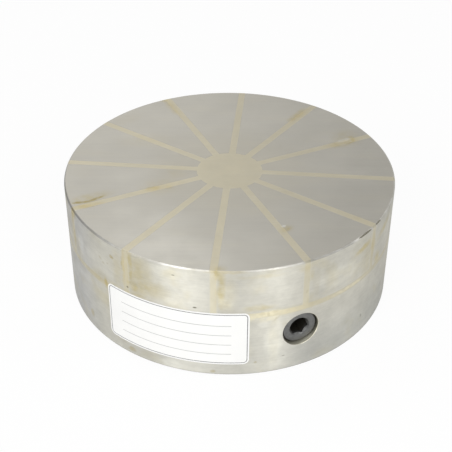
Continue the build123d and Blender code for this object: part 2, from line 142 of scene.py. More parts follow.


# Marks on the top face: right, away, half length, half width, turn in degrees, strength.
# First the thin films of oil, then thick dried oil with faint painted shade in its colour, bright scrapes,
# and steel that is rubbed bright with painted highlights in it.
TOP_FILMS = Marks(4 * MM, 0.75, {
    "glow round the run": (-65.0, -24.2, 8.5, 3.2, 24.0, 0.55),
    "yellow web at the rim": (-65.5, -30.8, 6.0, 1.5, 20.0, 0.9),
    "oil on the web left of the hub": (-36.0, -16.4, 3.6, 2.0, 24.0, 0.9),
    "second drop on that web": (-28.6, -15.2, 2.0, 1.8, 24.0, 0.5),
    "oil right of the hub": (57.0, 25.6, 8.0, 2.6, 24.0, 0.6),
    "halo round the curl": (60.0, 31.5, 6.0, 6.5, 0.0, 0.35),
    "yellow of the curl": (62.6, 30.2, 1.5, 3.6, 8.0, 1.0),
    "oil on the far right web": (36.0, 54.5, 8.0, 2.2, 57.0, 0.7),
    "oil on the far left web": (-30.5, 62.0, 9.0, 1.8, 116.0, 0.5),
    "oil at the far left rim": (-35.0, 71.0, 2.6, 2.0, 116.0, 0.6),
    "oil on the near right web": (25.8, -48.4, 2.8, 2.0, 50.0, 0.6),
    "oil by the right rim": (60.0, -41.0, 7.0, 2.0, -34.0, 0.15),
    "oil at the near rim": (-4.5, -78.0, 2.6, 2.0, 0.0, 0.6),
    "oil round the drop left of the hub": (-33.0, -14.6, 8.0, 5.5, 24.0, 0.28),
    "film left of the hub": (-26.0, -3.0, 5.0, 4.0, 0.0, 0.2),
    "faint ring left of the hub": (-42.0, 28.0, 12.0, 5.0, 10.0, 0.15),
})
TOP_OIL_AND_SHADE = Marks(2.5 * MM, 0.45, {
    "run along a web near the rim": (-68.7, -28.2, 4.0, 0.85, 9.5, 1.0),
    "bend of that run": (-62.4, -25.3, 4.4, 0.75, 36.0, 0.9),
    "drop on the web left of the hub": (-37.2, -15.6, 1.8, 0.7, 24.0, 0.25),
    "curl at the end of a scratch": (62.6, 30.0, 0.7, 2.8, 8.0, 0.35),
    "foot of that curl": (61.0, 26.4, 1.8, 0.6, 30.0, 0.5),
    "drop on the far right web": (34.6, 51.6, 2.6, 0.7, 57.0, 0.2),
    "drop on the near right web": (26.4, -48.8, 1.2, 0.7, 50.0, 0.25),
    "shade near the far left rim": (-54.0, 49.0, 8.0, 4.0, 42.0, 0.07),
})
TOP_SCRAPES = Marks(2.5 * MM, 0.4, {
    "pale scrape along a web": (58.6, 29.2, 4.2, 1.3, 28.0, 0.28),
    "pale nick on the near right web": (24.4, -46.6, 1.1, 0.7, 40.0, 0.6),
})
TOP_RUBBED_AND_HIGHLIGHTS = Marks(12 * MM, 0.8, {
    "near left of the rim": (-28.0, -64.0, 26.0, 12.0, -22.0, 1.0),
    "brightest near the rim": (-36.0, -56.0, 9.0, 5.0, -40.0, 1.0),
    "left of that patch": (-43.0, -42.0, 12.0, 7.0, -40.0, 0.6),
    "near pole": (9.0, -60.0, 15.0, 10.0, 0.0, 0.3),
    "middle of the near left pole": (-34.0, -44.0, 14.0, 8.0, 10.0, 0.6),
    "left rim": (-66.0, 24.0, 7.0, 6.0, 60.0, 0.12),
    "left of the hub": (-50.0, -4.0, 12.0, 5.0, 0.0, 0.3),
})

# Marks on the side: degrees right, millimetres down, half width, half height, turn in degrees, strength.
# First the thin films of oil, then thick dried oil with faint painted shade in its colour, specks, dark chips
# in the rim's chamfer, painted highlights, and resin that ran out over the seam.
SIDE_FILMS = Marks(5 * MM, 0.75, {
    "left edge of the left web": (-35.9, 9.0, 0.9, 9.5, 0.0, 0.7),
    "right edge of the left web": (-33.0, 7.5, 1.5, 8.0, 0.0, 1.0),
    "film left of that web": (-38.6, 12.0, 2.6, 9.0, 0.0, 0.3),
    "film right of it": (-30.2, 9.5, 6.5, 8.0, 0.0, 0.6),
    "pool under that film": (-27.8, 16.0, 8.5, 4.4, 0.0, 0.65),
    "tail of the pool": (-32.0, 17.6, 3.2, 3.0, 0.0, 0.9),
    "streak beside the near web": (-2.5, 9.5, 1.7, 10.0, 0.0, 0.85),
    "top of the near web": (-3.4, 1.2, 1.7, 3.2, 0.0, 0.8),
    "film right of the near web": (-0.4, 11.5, 3.2, 7.5, 0.0, 0.28),
    "line under the rim": (9.4, 3.5, 9.0, 0.8, 0.0, 0.3),
    "dull rim over the near web": (-1.0, 0.4, 7.0, 0.9, 0.0, 0.7),
    "foot of the near pole": (-1.4, 17.5, 3.2, 4.0, 0.0, 0.35),
    "pole over the spilt resin": (9.6, 21.0, 5.5, 1.4, 0.0, 0.6),
    "right web": (26.6, 8.0, 1.0, 2.4, 0.0, 0.6),
    "foot of the right web": (26.8, 21.0, 1.4, 2.6, 0.0, 0.2),
    "top of the right web": (25.0, 3.4, 3.4, 2.0, 0.0, 0.3),
    "smear near the far right web": (49.0, 7.4, 5.0, 1.5, -15.0, 0.8),
    "smear on that web": (55.0, 10.0, 1.8, 5.0, 0.0, 0.6),
    "smear past that web": (64.4, 7.4, 6.0, 2.0, -20.0, 0.6),
    "foot of that web": (59.4, 21.0, 2.4, 3.4, -20.0, 0.6),
    "top of the far left web": (-64.2, 1.6, 2.6, 2.6, 0.0, 0.85),
    "smear below it": (-65.6, 11.5, 3.5, 8.0, 0.0, 0.2),
    "seam left of the label": (-49.6, 24.0, 4.5, 2.4, 0.0, 0.35),
    "label's upper left corner": (-44.5, 24.6, 1.3, 2.4, 0.0, 1.0),
        "seam over the label": (-32.6, 22.4, 9.0, 1.2, 0.0, 0.4),
    "seam right of the label": (22.4, 25.0, 14.0, 2.0, 0.0, 0.25),
    "film beside the label": (14.5, 41.0, 2.4, 14.0, 0.0, 0.14),
    "foot under the label": (-28.0, 56.0, 5.0, 2.0, 0.0, 0.2),
})
SIDE_OIL_AND_SHADE = Marks(2.5 * MM, 0.45, {
    "drop left of the left web": (-40.9, 7.2, 1.3, 0.9, 10.0, 0.75),
    "spatter left of that drop": (-46.8, 11.8, 1.1, 0.5, 30.0, 0.35),
    "spatter below it": (-45.2, 13.8, 0.8, 0.5, 0.0, 0.35),
    "spatter right of that": (-43.1, 12.5, 0.8, 0.5, 0.0, 0.35),
    "oil at the label's corner": (-44.4, 24.7, 0.6, 1.3, 0.0, 0.4),
    "upright line at the far left": (-66.0, 4.5, 0.8, 3.8, 0.0, 0.65),
    "lower end of that line": (-64.2, 15.5, 0.9, 3.6, 0.0, 0.4),
    "stain at the top of the near web": (-4.2, 0.9, 0.9, 1.6, 0.0, 0.3),
    "drop left of the label": (-54.6, 51.5, 1.5, 2.4, 0.0, 0.5),
    "drop under the label's corner": (-34.2, 56.8, 2.0, 1.3, 0.0, 0.55),
    "second drop under the label": (-40.5, 52.6, 1.1, 1.2, 0.0, 0.45),
    "drop near the foot": (-5.3, 58.0, 1.3, 0.8, 0.0, 0.55),
    "drop right of the label": (8.6, 52.8, 0.7, 0.6, 0.0, 0.6),
    "spot on the right web": (26.7, 8.0, 0.5, 1.4, 0.0, 0.35),
    "lower spot on that web": (25.2, 16.6, 0.5, 0.9, 0.0, 0.3),
    "yellow in the spilt resin": (10.6, 24.5, 1.5, 0.9, 0.0, 0.22),
    "second yellow patch": (12.5, 24.9, 0.7, 1.2, 0.0, 0.26),
    "third yellow patch": (14.8, 24.0, 1.5, 0.7, 0.0, 0.18),
    "drip under the spilt resin": (15.2, 28.1, 1.9, 0.6, -46.0, 0.25),
    "shade right of the right web": (28.6, 14.0, 1.9, 9.5, 0.0, 0.14),
    "shade left of the label": (-46.4, 21.8, 5.2, 2.8, 0.0, 0.16),
    "shade at the foot of the right web": (27.0, 23.5, 1.6, 4.5, 0.0, 0.1),
    "shade at the seam right of the web": (34.5, 21.3, 4.6, 1.3, 0.0, 0.1),
    "shade left of the left web": (-41.0, 11.5, 4.0, 4.0, 0.0, 0.08),
})
SIDE_SPECKS = Marks(0.6 * MM, 0.4, {
    "speck over the label's corner": (-34.6, 19.9, 0.55, 0.4, 0.0, 1.0),
    "speck under the near pole": (-10.9, 21.0, 0.8, 0.4, 0.0, 1.0),
    "speck near the rim": (-17.7, 4.9, 0.7, 0.3, 0.0, 0.7),
    "speck right of the label": (18.0, 51.3, 0.7, 0.25, 0.0, 0.6),
    "speck at the right": (51.4, 49.4, 0.6, 0.9, 0.0, 0.5),
})
RIM_CHIPS = Marks(0.4 * MM, 0.15, {
    "chip in the rim": (49.5, 0.34, 5.0, 0.32, 0.0, 1.0),
    "chip past the web": (57.7, 0.34, 2.4, 0.32, 0.0, 1.0),
})
SIDE_PAINTED_HIGHLIGHTS = Marks(6 * MM, 0.4, {
    "patch right of the right web": (38.2, 14.5, 11.0, 5.0, 0.0, 0.85),
    "patch left of the near web": (-14.5, 11.0, 9.0, 9.0, 0.0, 0.5),
    "patch left of the right web": (12.6, 8.0, 8.0, 5.0, 0.0, 0.55),
    "right end of that patch": (17.6, 15.0, 4.0, 4.5, 0.0, 0.6),
    "beside the label": (14.6, 40.0, 4.0, 15.0, 0.0, 1.0),
    "between the label and the seam": (11.2, 30.8, 3.0, 2.0, 0.0, 1.0),
    "near left rim": (-20.5, 4.4, 7.5, 4.4, 0.0, 1.0),
    "under the streak by the near web": (-0.8, 14.5, 4.6, 6.0, 0.0, 1.0),
    "right of the label's foot": (17.0, 51.5, 2.6, 3.6, 0.0, 0.7),
    "right end of the poles": (68.0, 12.0, 5.0, 6.5, 0.0, 0.9),
    "left end of the poles": (-70.0, 16.0, 3.5, 4.0, 0.0, 0.5),
    "over the label's middle": (-18.5, 20.2, 4.0, 2.4, 0.0, 0.55),
    "foot under the label's middle": (-19.0, 56.8, 5.0, 2.0, 0.0, 0.8),
    "right of the far left web": (-59.0, 14.5, 3.0, 6.0, 0.0, 0.9),
    "far left pole": (-48.0, 15.0, 12.0, 5.0, 0.0, 0.35),
    "under the far left pole": (-58.0, 34.0, 9.0, 5.0, 0.0, 0.25),
    "right of the key": (37.0, 40.0, 8.0, 5.0, 20.0, 0.2),
    "left of the left web": (-44.0, 15.0, 5.0, 5.0, 0.0, 0.3),
})
RESIN_RUNS = Marks(2.5 * MM, 0.7, {
    "run over the seam": (11.6, 24.9, 6.4, 1.4, -6.0, 0.8),
    "thin end of the run": (6.9, 26.2, 2.6, 1.6, 0.0, 0.6),
    "film under the seam": (12.4, 27.4, 5.4, 1.6, -10.0, 0.45),
    "film right of the run": (19.4, 25.4, 6.0, 1.5, 0.0, 0.3),
    "pale seam right of the key": (43.5, 25.2, 11.0, 0.9, 0.0, 0.5),
})


def a_colour(name, description, value):
    """A colour among the settings."""
    return FloatVectorProperty(
        name=name, description=description, subtype="COLOR", default=value, min=0.0, max=1.0
    )


def a_length(name, description, value, least, most):
    """A length of a millimetre or so among the settings."""
    return FloatProperty(
        name=name, description=description, default=value, min=least, max=most, precision=5, unit="LENGTH"
    )


class ChuckFinishes(bpy.types.PropertyGroup):
    """Colours and grain of the chuck's own surfaces."""

    ground_steel: a_colour("Ground steel", "Colour of the poles' ground faces", (0.354, 0.341, 0.306))
    turned_steel: a_colour("Turned steel", "Colour of the turned side and housing", (0.575, 0.562, 0.505))
    resin: a_colour("Resin", "Colour of the cast resin between the poles", (0.508, 0.465, 0.346))
    film: a_colour("Oil film", "Tint of thin oil and resin on the metal", (0.94, 0.85, 0.57))
    # The same colour is used for faint painted shade
    oil: a_colour("Dried oil", "Colour of thick dried oil", (0.32, 0.26, 0.11))
    side_resin: a_colour("Resin on the side", "Colour of the resin on the turned side", (0.575, 0.540, 0.425))
    spilt_resin: a_colour(
        "Spilt resin", "Colour of the thin resin that ran over the seam", (0.72, 0.665, 0.48)
    )
    # The same tint lights the painted highlights on the side and on the top
    rubbed: FloatVectorProperty(
        name="Rubbed steel",
        description="Tint of steel that is rubbed bright, above one",
        default=(1.16, 1.165, 1.17),
        min=0.0,
        max=2.0,
    )
    worn_edge: a_colour("Worn edge", "Colour of steel edges that are rubbed bright", (0.63, 0.62, 0.59))
    scrape: a_colour("Scrape", "Colour of bright scrapes over the resin", (0.62, 0.62, 0.60))
    dirt: a_colour("Dirt", "Colour of specks and of dirt in chipped edges", (0.095, 0.085, 0.05))
    blackened_steel: a_colour(
        "Blackened steel", "Colour of the key shaft's blackened head", (0.165, 0.166, 0.163)
    )
    grinding_pitch: a_length(
        "Grinding marks", "Distance between the grinding marks on the work face", 0.7 * MM, 0.05 * MM, 5 * MM
    )
    turning_pitch: a_length(
        "Turning marks", "Distance between the turning marks on the side", 0.6 * MM, 0.05 * MM, 5 * MM
    )


class ChuckLabel(bpy.types.PropertyGroup):
    """Sizes and colours of the label film on the side."""

    film: a_colour("Film", "Colour of the label's film", (0.80, 0.80, 0.79))
    ink: a_colour("Ink", "Colour of the printed border and rules", (0.10, 0.10, 0.11))
    film_thickness: a_length(
        "Film thickness", "Thickness of the label's film", 0.17 * MM, 0.05 * MM, 0.19 * MM
    )
    corner_radius: a_length(
        "Corner radius", "Radius of the label's corners", 2.7 * MM, 0.5 * MM, 3.4 * MM
    )
    border_inset: a_length(
        "Border inset", "Distance from the film's edge to the printed border", 0.75 * MM, 0.2 * MM, 3.0 * MM
    )
    border_width: a_length(
        "Border width", "Width of the printed border", 0.35 * MM, 0.1 * MM, 2.0 * MM
    )


class ChuckStage(bpy.types.PropertyGroup):
    """Camera, floor and lights."""

    azimuth: FloatProperty(
        name="Azimuth",
        description="Side that the camera looks from, from the key's side",
        default=math.radians(-24.0),
        subtype="ANGLE",
    )
    elevation: FloatProperty(
        name="Elevation",
        description="Camera's height above the horizon",
        default=math.radians(35.563),
        subtype="ANGLE",
    )
    roll: FloatProperty(
        name="Roll",
        description="Camera's turn about its line of sight",
        default=math.radians(0.276),
        subtype="ANGLE",
    )
    distance: FloatProperty(
        name="Distance",
        description="Camera's distance from the point that it looks at",
        default=0.498144,
        min=0.1,
        precision=4,
        unit="LENGTH",
    )
    aim: FloatVectorProperty(
        name="Aim",
        description="Point that the camera looks at",
        default=(-0.00789, -0.01375, 0.03794),
        precision=5,
        subtype="XYZ",
        unit="LENGTH",
    )
    lens: FloatProperty(
        name="Focal length",
        description="Camera's focal length in millimetres, on a 36 mm sensor",
        default=81.44,
        min=10.0,
    )
    world_level: FloatProperty(
        name="Room light",
        description="Strength of the even white light all round",
        default=0.41,
        min=0.0,
    )
    floor_radius: FloatProperty(
        name="Floor radius",
        description="Radius of the floor",
        default=4.0,
        min=0.5,
        unit="LENGTH",
    )
    floor_sides: IntProperty(
        name="Floor sides",
        description="Number of sides of the floor's outline",
        default=96,
        min=12,
    )


def settings(group):
    """One of the chuck's groups of settings."""
    return getattr(bpy.context.scene, group)


# Node trees
class Finish:
    """A material in the making, with short ways to add to its nodes."""

    def __init__(self, name):
        self.material = bpy.data.materials.new(name)
        self.material.use_nodes = True
        self.tree = self.material.node_tree
        self.shader = self.tree.nodes["Principled BSDF"]

    def node(self, kind, inputs=None, **choices):
        """Adds a node, sets its choices, and sets or links its inputs."""
        made = self.tree.nodes.new(kind)
        for name, value in choices.items():
            setattr(made, name, value)
        for name, value in (inputs or {}).items():
            self.feed(made.inputs[name], value)
        return made

    def feed(self, socket, value):
        """Links an output to a socket, or sets the socket's own value."""
        if isinstance(value, bpy.types.NodeSocket):
            self.tree.links.new(value, socket)
        else:
            socket.default_value = value

    def surface(self, **inputs):
        """Feeds the shader's sockets. A name's underscores stand for spaces."""
        for name, value in inputs.items():
            self.feed(self.shader.inputs[name.replace("_", " ")], value)
        return self.material

    def math(self, operation, first, second=0.0, third=0.0):
        """One step of arithmetic."""
        step = {0: first, 1: second, 2: third}
        return self.node("ShaderNodeMath", step, operation=operation).outputs[0]

    def vector(self, operation, first, second=(0.0, 0.0, 0.0)):
        """One step of vector arithmetic."""
        made = self.node("ShaderNodeVectorMath", {0: first, 1: second}, operation=operation)
        return made.outputs["Value" if operation == "LENGTH" else "Vector"]

    def scaled(self, vector, factor):
        """A vector or colour times a number."""
        made = self.node("ShaderNodeVectorMath", {0: vector, "Scale": factor}, operation="SCALE")
        return made.outputs["Vector"]

    def split(self, vector):
        """The three numbers of a vector."""
        return self.node("ShaderNodeSeparateXYZ", {0: vector}).outputs

    def join(self, x=0.0, y=0.0, z=0.0):
        """A vector of three numbers."""
        return self.node("ShaderNodeCombineXYZ", {0: x, 1: y, 2: z}).outputs[0]

    def between(self, value, low, high, to_low=0.0, to_high=1.0, smooth=True):
        """A number carried from one range to another, held at the ends."""
        ends = {0: value, 1: low, 2: high, 3: to_low, 4: to_high}
        step = "SMOOTHSTEP" if smooth else "LINEAR"
        return self.node("ShaderNodeMapRange", ends, interpolation_type=step).outputs[0]

    def noise(self, coordinates, feature=1.0, detail=3.0, roughness=0.55):
        """Even noise from 0 to 1, with features of about a size."""
        inputs = {"Vector": coordinates, "Scale": 1.0 / feature, "Detail": detail, "Roughness": roughness}
        return self.node("ShaderNodeTexNoise", inputs).outputs["Fac"]

    def mix(self, factor, first, second, blend="MIX"):
        """Two colours mixed."""
        inputs = {0: factor, 6: first, 7: second}
        made = self.node("ShaderNodeMix", inputs, data_type="RGBA", blend_type=blend)
        return made.outputs[2]

    def shade(self, colour, *tones):
        """A colour made lighter or darker by one or more factors near 1."""
        for tone in tones:
            colour = self.scaled(colour, tone)
        return colour

    def tinted(self, mask, colour, tint):
        """A colour that takes a tint where a mask is full."""
        return self.mix(mask, colour, self.vector("MULTIPLY", colour, tuple(tint)))

    def covered(self, mask, colour, over):
        """A colour that another one covers where a mask is full."""
        return self.mix(mask, colour, (*over, 1.0))

    def tone(self, noise, depth):
        """Noise as a factor that goes a little below and above 1."""
        return self.between(noise, 0.3, 0.7, 1.0 - depth, 1.0 + depth, smooth=False)

    def place(self):
        """Where a point is on the chuck."""
        return self.node("ShaderNodeTexCoord").outputs["Object"]

    def laid(self):
        """Where a point is, turned so that X runs to the picture's right and Y away from the camera."""
        turn = -settings("chuck_stage").azimuth
        inputs = {"Vector": self.place(), "Rotation": (0.0, 0.0, turn)}
        return self.node("ShaderNodeMapping", inputs).outputs[0]

    def stretched(self, coordinates, along, across, up):
        """Coordinates divided by three feature sizes, for noise of size 1."""
        return self.vector("DIVIDE", coordinates, (along, across, up))

    def edges(self, width):
        """A mask that rises towards the part's edges, from the bend of a rounded normal."""
        rounded = self.node("ShaderNodeBevel", {"Radius": width}, samples=6).outputs[0]
        flat = self.node("ShaderNodeNewGeometry").outputs["Normal"]
        bend = self.node("ShaderNodeVectorMath", {0: rounded, 1: flat}, operation="DOT_PRODUCT")
        return self.between(bend.outputs["Value"], 0.995, 0.82)

    def worn(self, colour, bright, width, feature):
        """A colour that is rubbed through to a brighter one along the edges, in patches."""
        patchy = self.between(self.noise(self.place(), feature, detail=5.0), 0.35, 0.62, 0.1, 0.85)
        return self.covered(self.math("MULTIPLY", self.edges(width), patchy), colour, bright)

    def bump(self, height, depth):
        """A normal from a height of 0 to 1 that stands for a real depth in metres."""
        return self.node("ShaderNodeBump", {"Height": height, "Distance": depth, "Strength": 1.0}).outputs[0]

    def blots(self, coordinates, places, scale, ragged, soft):
        """The strongest of several marks at each point, with uneven edges and soft or sharp flanks."""
        if not places:
            return 0.0
        inputs = {"Vector": coordinates, "Scale": 1.0 / ragged, "Detail": 4.0}
        wobble = self.node("ShaderNodeTexNoise", inputs)
        shift = self.vector("SUBTRACT", wobble.outputs["Color"], (0.5, 0.5, 0.5))
        spread = self.vector("ADD", coordinates, self.scaled(shift, 0.6 * ragged))
        patchy = self.between(wobble.outputs["Fac"], 0.30, 0.60, 0.45, 1.0)
        total = 0.0
        for x, y, half_length, half_width, turn, strength in places.values():
            inputs = {
                "Vector": spread,
                "Location": (x * scale[0], y * scale[1], 0.0),
                "Rotation": (0.0, 0.0, math.radians(turn)),
                "Scale": (half_length * MM, half_width * MM, 1.0),
            }
            local = self.node("ShaderNodeMapping", inputs, vector_type="TEXTURE").outputs[0]
            inside = self.between(self.vector("LENGTH", local), 1.0 + soft, 1.0 - soft, 0.0, strength)
            total = self.math("MAXIMUM", total, inside)
        return self.math("MULTIPLY", total, patchy)


class Round:
    """The coordinates that a finish needs on a round part, or on sectors of one, between two levels."""

    def __init__(self, finish, high, low, middle=0.0, half_sector=180.0, pitch=360.0):
        self.shallow = (TOP - high) / MM
        self.deep = (TOP - low) / MM
        self.middle = middle
        self.half_sector = half_sector
        self.pitch = pitch
        self.laid = finish.laid()
        x, y, z = finish.split(self.laid)
        self.flat = finish.join(x, y)
        self.radius = finish.vector("LENGTH", self.flat)
        away = finish.math("MULTIPLY", y, -1.0)
        angle = finish.math("ARCTAN2", x, away)
        arc = finish.math("MULTIPLY", angle, CHUCK_R)
        depth = finish.math("SUBTRACT", TOP, z)
        self.level = z
        self.angle = angle
        self.wrapped = finish.join(arc, depth)
        self.on_side = finish.between(self.radius, CHUCK_R - 0.62 * MM, CHUCK_R - 0.5 * MM)
        self.on_top = finish.between(z, TOP - 0.7 * MM, TOP - 0.5 * MM)
        self.at_edge = finish.between(self.radius, CHUCK_R - 1.3 * MM, CHUCK_R - 0.9 * MM)
        self.rim = self.band(finish, TOP, CHUCK_R, 0.9 * MM)
        self.chamfer = self.band(finish, TOP - 0.3 * MM, CHUCK_R - 0.3 * MM, 0.75 * MM)
        # Painted shade on the rim's chamfer: strongest on a stretch at the left and one at the right, faint
        # all round
        at_left = self.stretch(finish, *PAINTED_RIM_SHADE_LEFT)
        at_right = self.stretch(finish, *PAINTED_RIM_SHADE_RIGHT)
        rim_shade_stretches = finish.math("MAXIMUM", at_left, at_right)
        self.painted_rim_shade = finish.math("MULTIPLY", self.chamfer, finish.math("MAXIMUM", rim_shade_stretches, PAINTED_RIM_SHADE_ALL_ROUND))
        # The foot's edge, where shade is painted
        self.foot = self.band(finish, 0.0, CHUCK_R, 1.1 * MM)

    def band(self, finish, level, radius, width):
        """A mask within a width of a round edge."""
        across = finish.math("SUBTRACT", self.radius, radius)
        up = finish.math("SUBTRACT", self.level, level)
        distance = finish.vector("LENGTH", finish.join(across, up))
        return finish.between(distance, width, 0.35 * width)

    def stretch(self, finish, begins, full, fades, ends, strength):
        """A mask over a stretch of the side, in degrees right of the camera."""
        rising = finish.between(self.angle, math.radians(begins), math.radians(full), 0.0, strength)
        falling = finish.between(self.angle, math.radians(ends), math.radians(fades))
        return finish.math("MULTIPLY", rising, falling)

    def covers(self, angle, spread):
        """Whether a mark at an angle right of the camera, with a spread in degrees, reaches a sector."""
        return abs(math.remainder(angle - self.middle, self.pitch)) < self.half_sector + spread

    def spans(self, depth, reach):
        """Whether a mark at a depth below the work face, with a reach in millimetres, meets the part."""
        return self.shallow - reach < depth < self.deep + reach


def side_marks(finish, where, marks):
    """Marks on the side and on its edges, where they reach the part."""
    reached = {}
    for name, place in marks.places.items():
        reach = (1.0 + marks.soft) * max(place[2], place[3]) + 0.3 * marks.ragged / MM
        if where.spans(place[1], reach) and where.covers(place[0], reach * MM / DEGREE):
            reached[name] = place
    masks = finish.blots(where.wrapped, reached, (DEGREE, MM), marks.ragged, marks.soft)
    return finish.math("MULTIPLY", masks, where.at_edge)


def top_marks(finish, where, marks):
    """Marks on the top face, where they reach the part."""
    reached = {}
    for name, place in marks.places.items():
        reach = (1.0 + marks.soft) * place[2] + 0.3 * marks.ragged / MM
        angle = math.degrees(math.atan2(place[0], -place[1]))
        spread = math.degrees(math.atan2(reach, math.hypot(place[0], place[1])))
        if where.shallow < reach and where.covers(angle, spread):
            reached[name] = place
    masks = finish.blots(where.flat, reached, (MM, MM), marks.ragged, marks.soft)
    return finish.math("MULTIPLY", masks, where.on_top)


def choose(finish, mask, outside, inside):
    """One number outside a mask and another inside it."""
    step = finish.node("ShaderNodeMix", {0: mask, 2: outside, 3: inside}, data_type="FLOAT")
    return step.outputs[0]


def all_marks(finish, where, on_top, on_side):
    """Marks of one kind, on the top face and on the side."""
    top = top_marks(finish, where, on_top)
    return choose(finish, where.on_side, top, side_marks(finish, where, on_side))


def mark(finish, where, colour, metal=True):
    """Lays the marks of use, with painted highlights and painted shade among them, over a colour. Gives the
    colour, and masks of the oil and of thick cover.
    """
    chosen = settings("chuck_finishes")
    films = all_marks(finish, where, TOP_FILMS, SIDE_FILMS)
    # Thick dried oil, and faint painted shade in its colour
    oil_and_painted_shade = all_marks(finish, where, TOP_OIL_AND_SHADE, SIDE_OIL_AND_SHADE)
    if metal:
        # Steel rubbed bright on the top, with painted highlights there and on the side
        rubbed = all_marks(finish, where, TOP_RUBBED_AND_HIGHLIGHTS, SIDE_PAINTED_HIGHLIGHTS)
        colour = finish.tinted(rubbed, colour, chosen.rubbed)
    # Painted shade on the rim's chamfer
    colour = finish.mix(where.painted_rim_shade, colour, finish.scaled(colour, PAINTED_RIM_SHADE_FACTOR))
    chips = finish.math("MULTIPLY", side_marks(finish, where, RIM_CHIPS), where.chamfer)
    specks = finish.math("MAXIMUM", side_marks(finish, where, SIDE_SPECKS), chips)
    scrapes = top_marks(finish, where, TOP_SCRAPES)
    runs = side_marks(finish, where, RESIN_RUNS)
    colour = finish.tinted(films, colour, chosen.film)
    colour = finish.covered(runs, colour, chosen.spilt_resin)
    colour = finish.covered(scrapes, colour, chosen.scrape)
    colour = finish.covered(oil_and_painted_shade, colour, chosen.oil)
    colour = finish.covered(specks, colour, chosen.dirt)
    cover = finish.math("MAXIMUM", runs, specks)
    for layer in (scrapes, oil_and_painted_shade):
        cover = finish.math("MAXIMUM", cover, layer)
    return colour, films, cover


# Steel
class Side:
    """A turned and polished side: fine rings, smears along them and slow waves under them, with painted shade
    low on the side and a painted cool reflection on the left.
    """

    def __init__(self, finish, where):
        chosen = settings("chuck_finishes")
        stretched = finish.stretched(where.laid, 60 * MM, 60 * MM, chosen.turning_pitch)
        rings = finish.noise(stretched, detail=2.0)
        smears = finish.noise(finish.stretched(where.laid, 22 * MM, 22 * MM, 5 * MM), detail=4.0)
        mottle = finish.noise(where.laid, 6 * MM, detail=4.0, roughness=0.6)
        flecks = finish.noise(finish.stretched(where.laid, 3 * MM, 3 * MM, 1.2 * MM), detail=3.0)
        stained = finish.between(finish.noise(where.laid, 17 * MM, detail=3.0), 0.5, 0.75, 0.0, 0.3)
        waves = finish.noise(finish.stretched(where.laid, 13 * MM, 13 * MM, 17 * MM), detail=2.0)
        colour = finish.shade(
            tuple(chosen.turned_steel),
            finish.tone(smears, 0.05),
            finish.tone(mottle, 0.05),
            finish.tone(flecks, 0.03),
            finish.tone(rings, 0.025),
        )
        colour = finish.tinted(stained, colour, chosen.film)
        # Painted shade low on the side, stronger towards the right
        low = finish.between(where.level, TOP - 28 * MM, TOP - 54 * MM)
        painted_low_shade = finish.math("ADD", where.stretch(finish, *PAINTED_LOW_SHADE_RIGHT), PAINTED_LOW_SHADE_ALL_ROUND)
        colour = finish.tinted(finish.math("MULTIPLY", low, painted_low_shade), colour, PAINTED_LOW_SHADE_TINT)
        # A painted cool reflection on the left of the side
        self.colour = finish.tinted(where.stretch(finish, *PAINTED_COOL_REFLECTION_LEFT), colour, PAINTED_COOL_REFLECTION_TINT)
        self.height = finish.math("ADD", rings, finish.math("MULTIPLY", waves, 9.0))
        self.rough = finish.between(smears, 0.3, 0.7, 0.54, 0.62)


def steel_surface(finish, where, colour, rough, height):
    """The shader of the outside's steel: painted shade on its foot's edge, worn bright along its rim, with
    the marks of use, painted highlights and painted rim shade over it.
    """
    patchy = finish.between(finish.noise(where.laid, 6 * MM, detail=5.0), 0.35, 0.65, 0.2, 0.9)
    # Painted shade on the foot's edge
    colour = finish.mix(where.foot, colour, finish.scaled(colour, PAINTED_FOOT_SHADE))
    worn = finish.math("MULTIPLY", where.rim, patchy)
    colour = finish.covered(worn, colour, settings("chuck_finishes").worn_edge)
    rough = finish.math("SUBTRACT", rough, finish.math("MULTIPLY", worn, 0.12))
    marked, films, cover = mark(finish, where, colour)
    return finish.surface(
        Base_Color=marked,
        Metallic=finish.between(cover, 0.0, 1.0, 1.0, 0.0),
        Roughness=finish.math("ADD", rough, finish.math("MULTIPLY", films, 0.06)),
        Anisotropic=GRAIN,
        Specular_Tint=(0.50, 0.50, 0.49, 1.0),
        Tangent=grain_direction(finish, where),
        Normal=finish.bump(height, 0.006 * MM),
    )


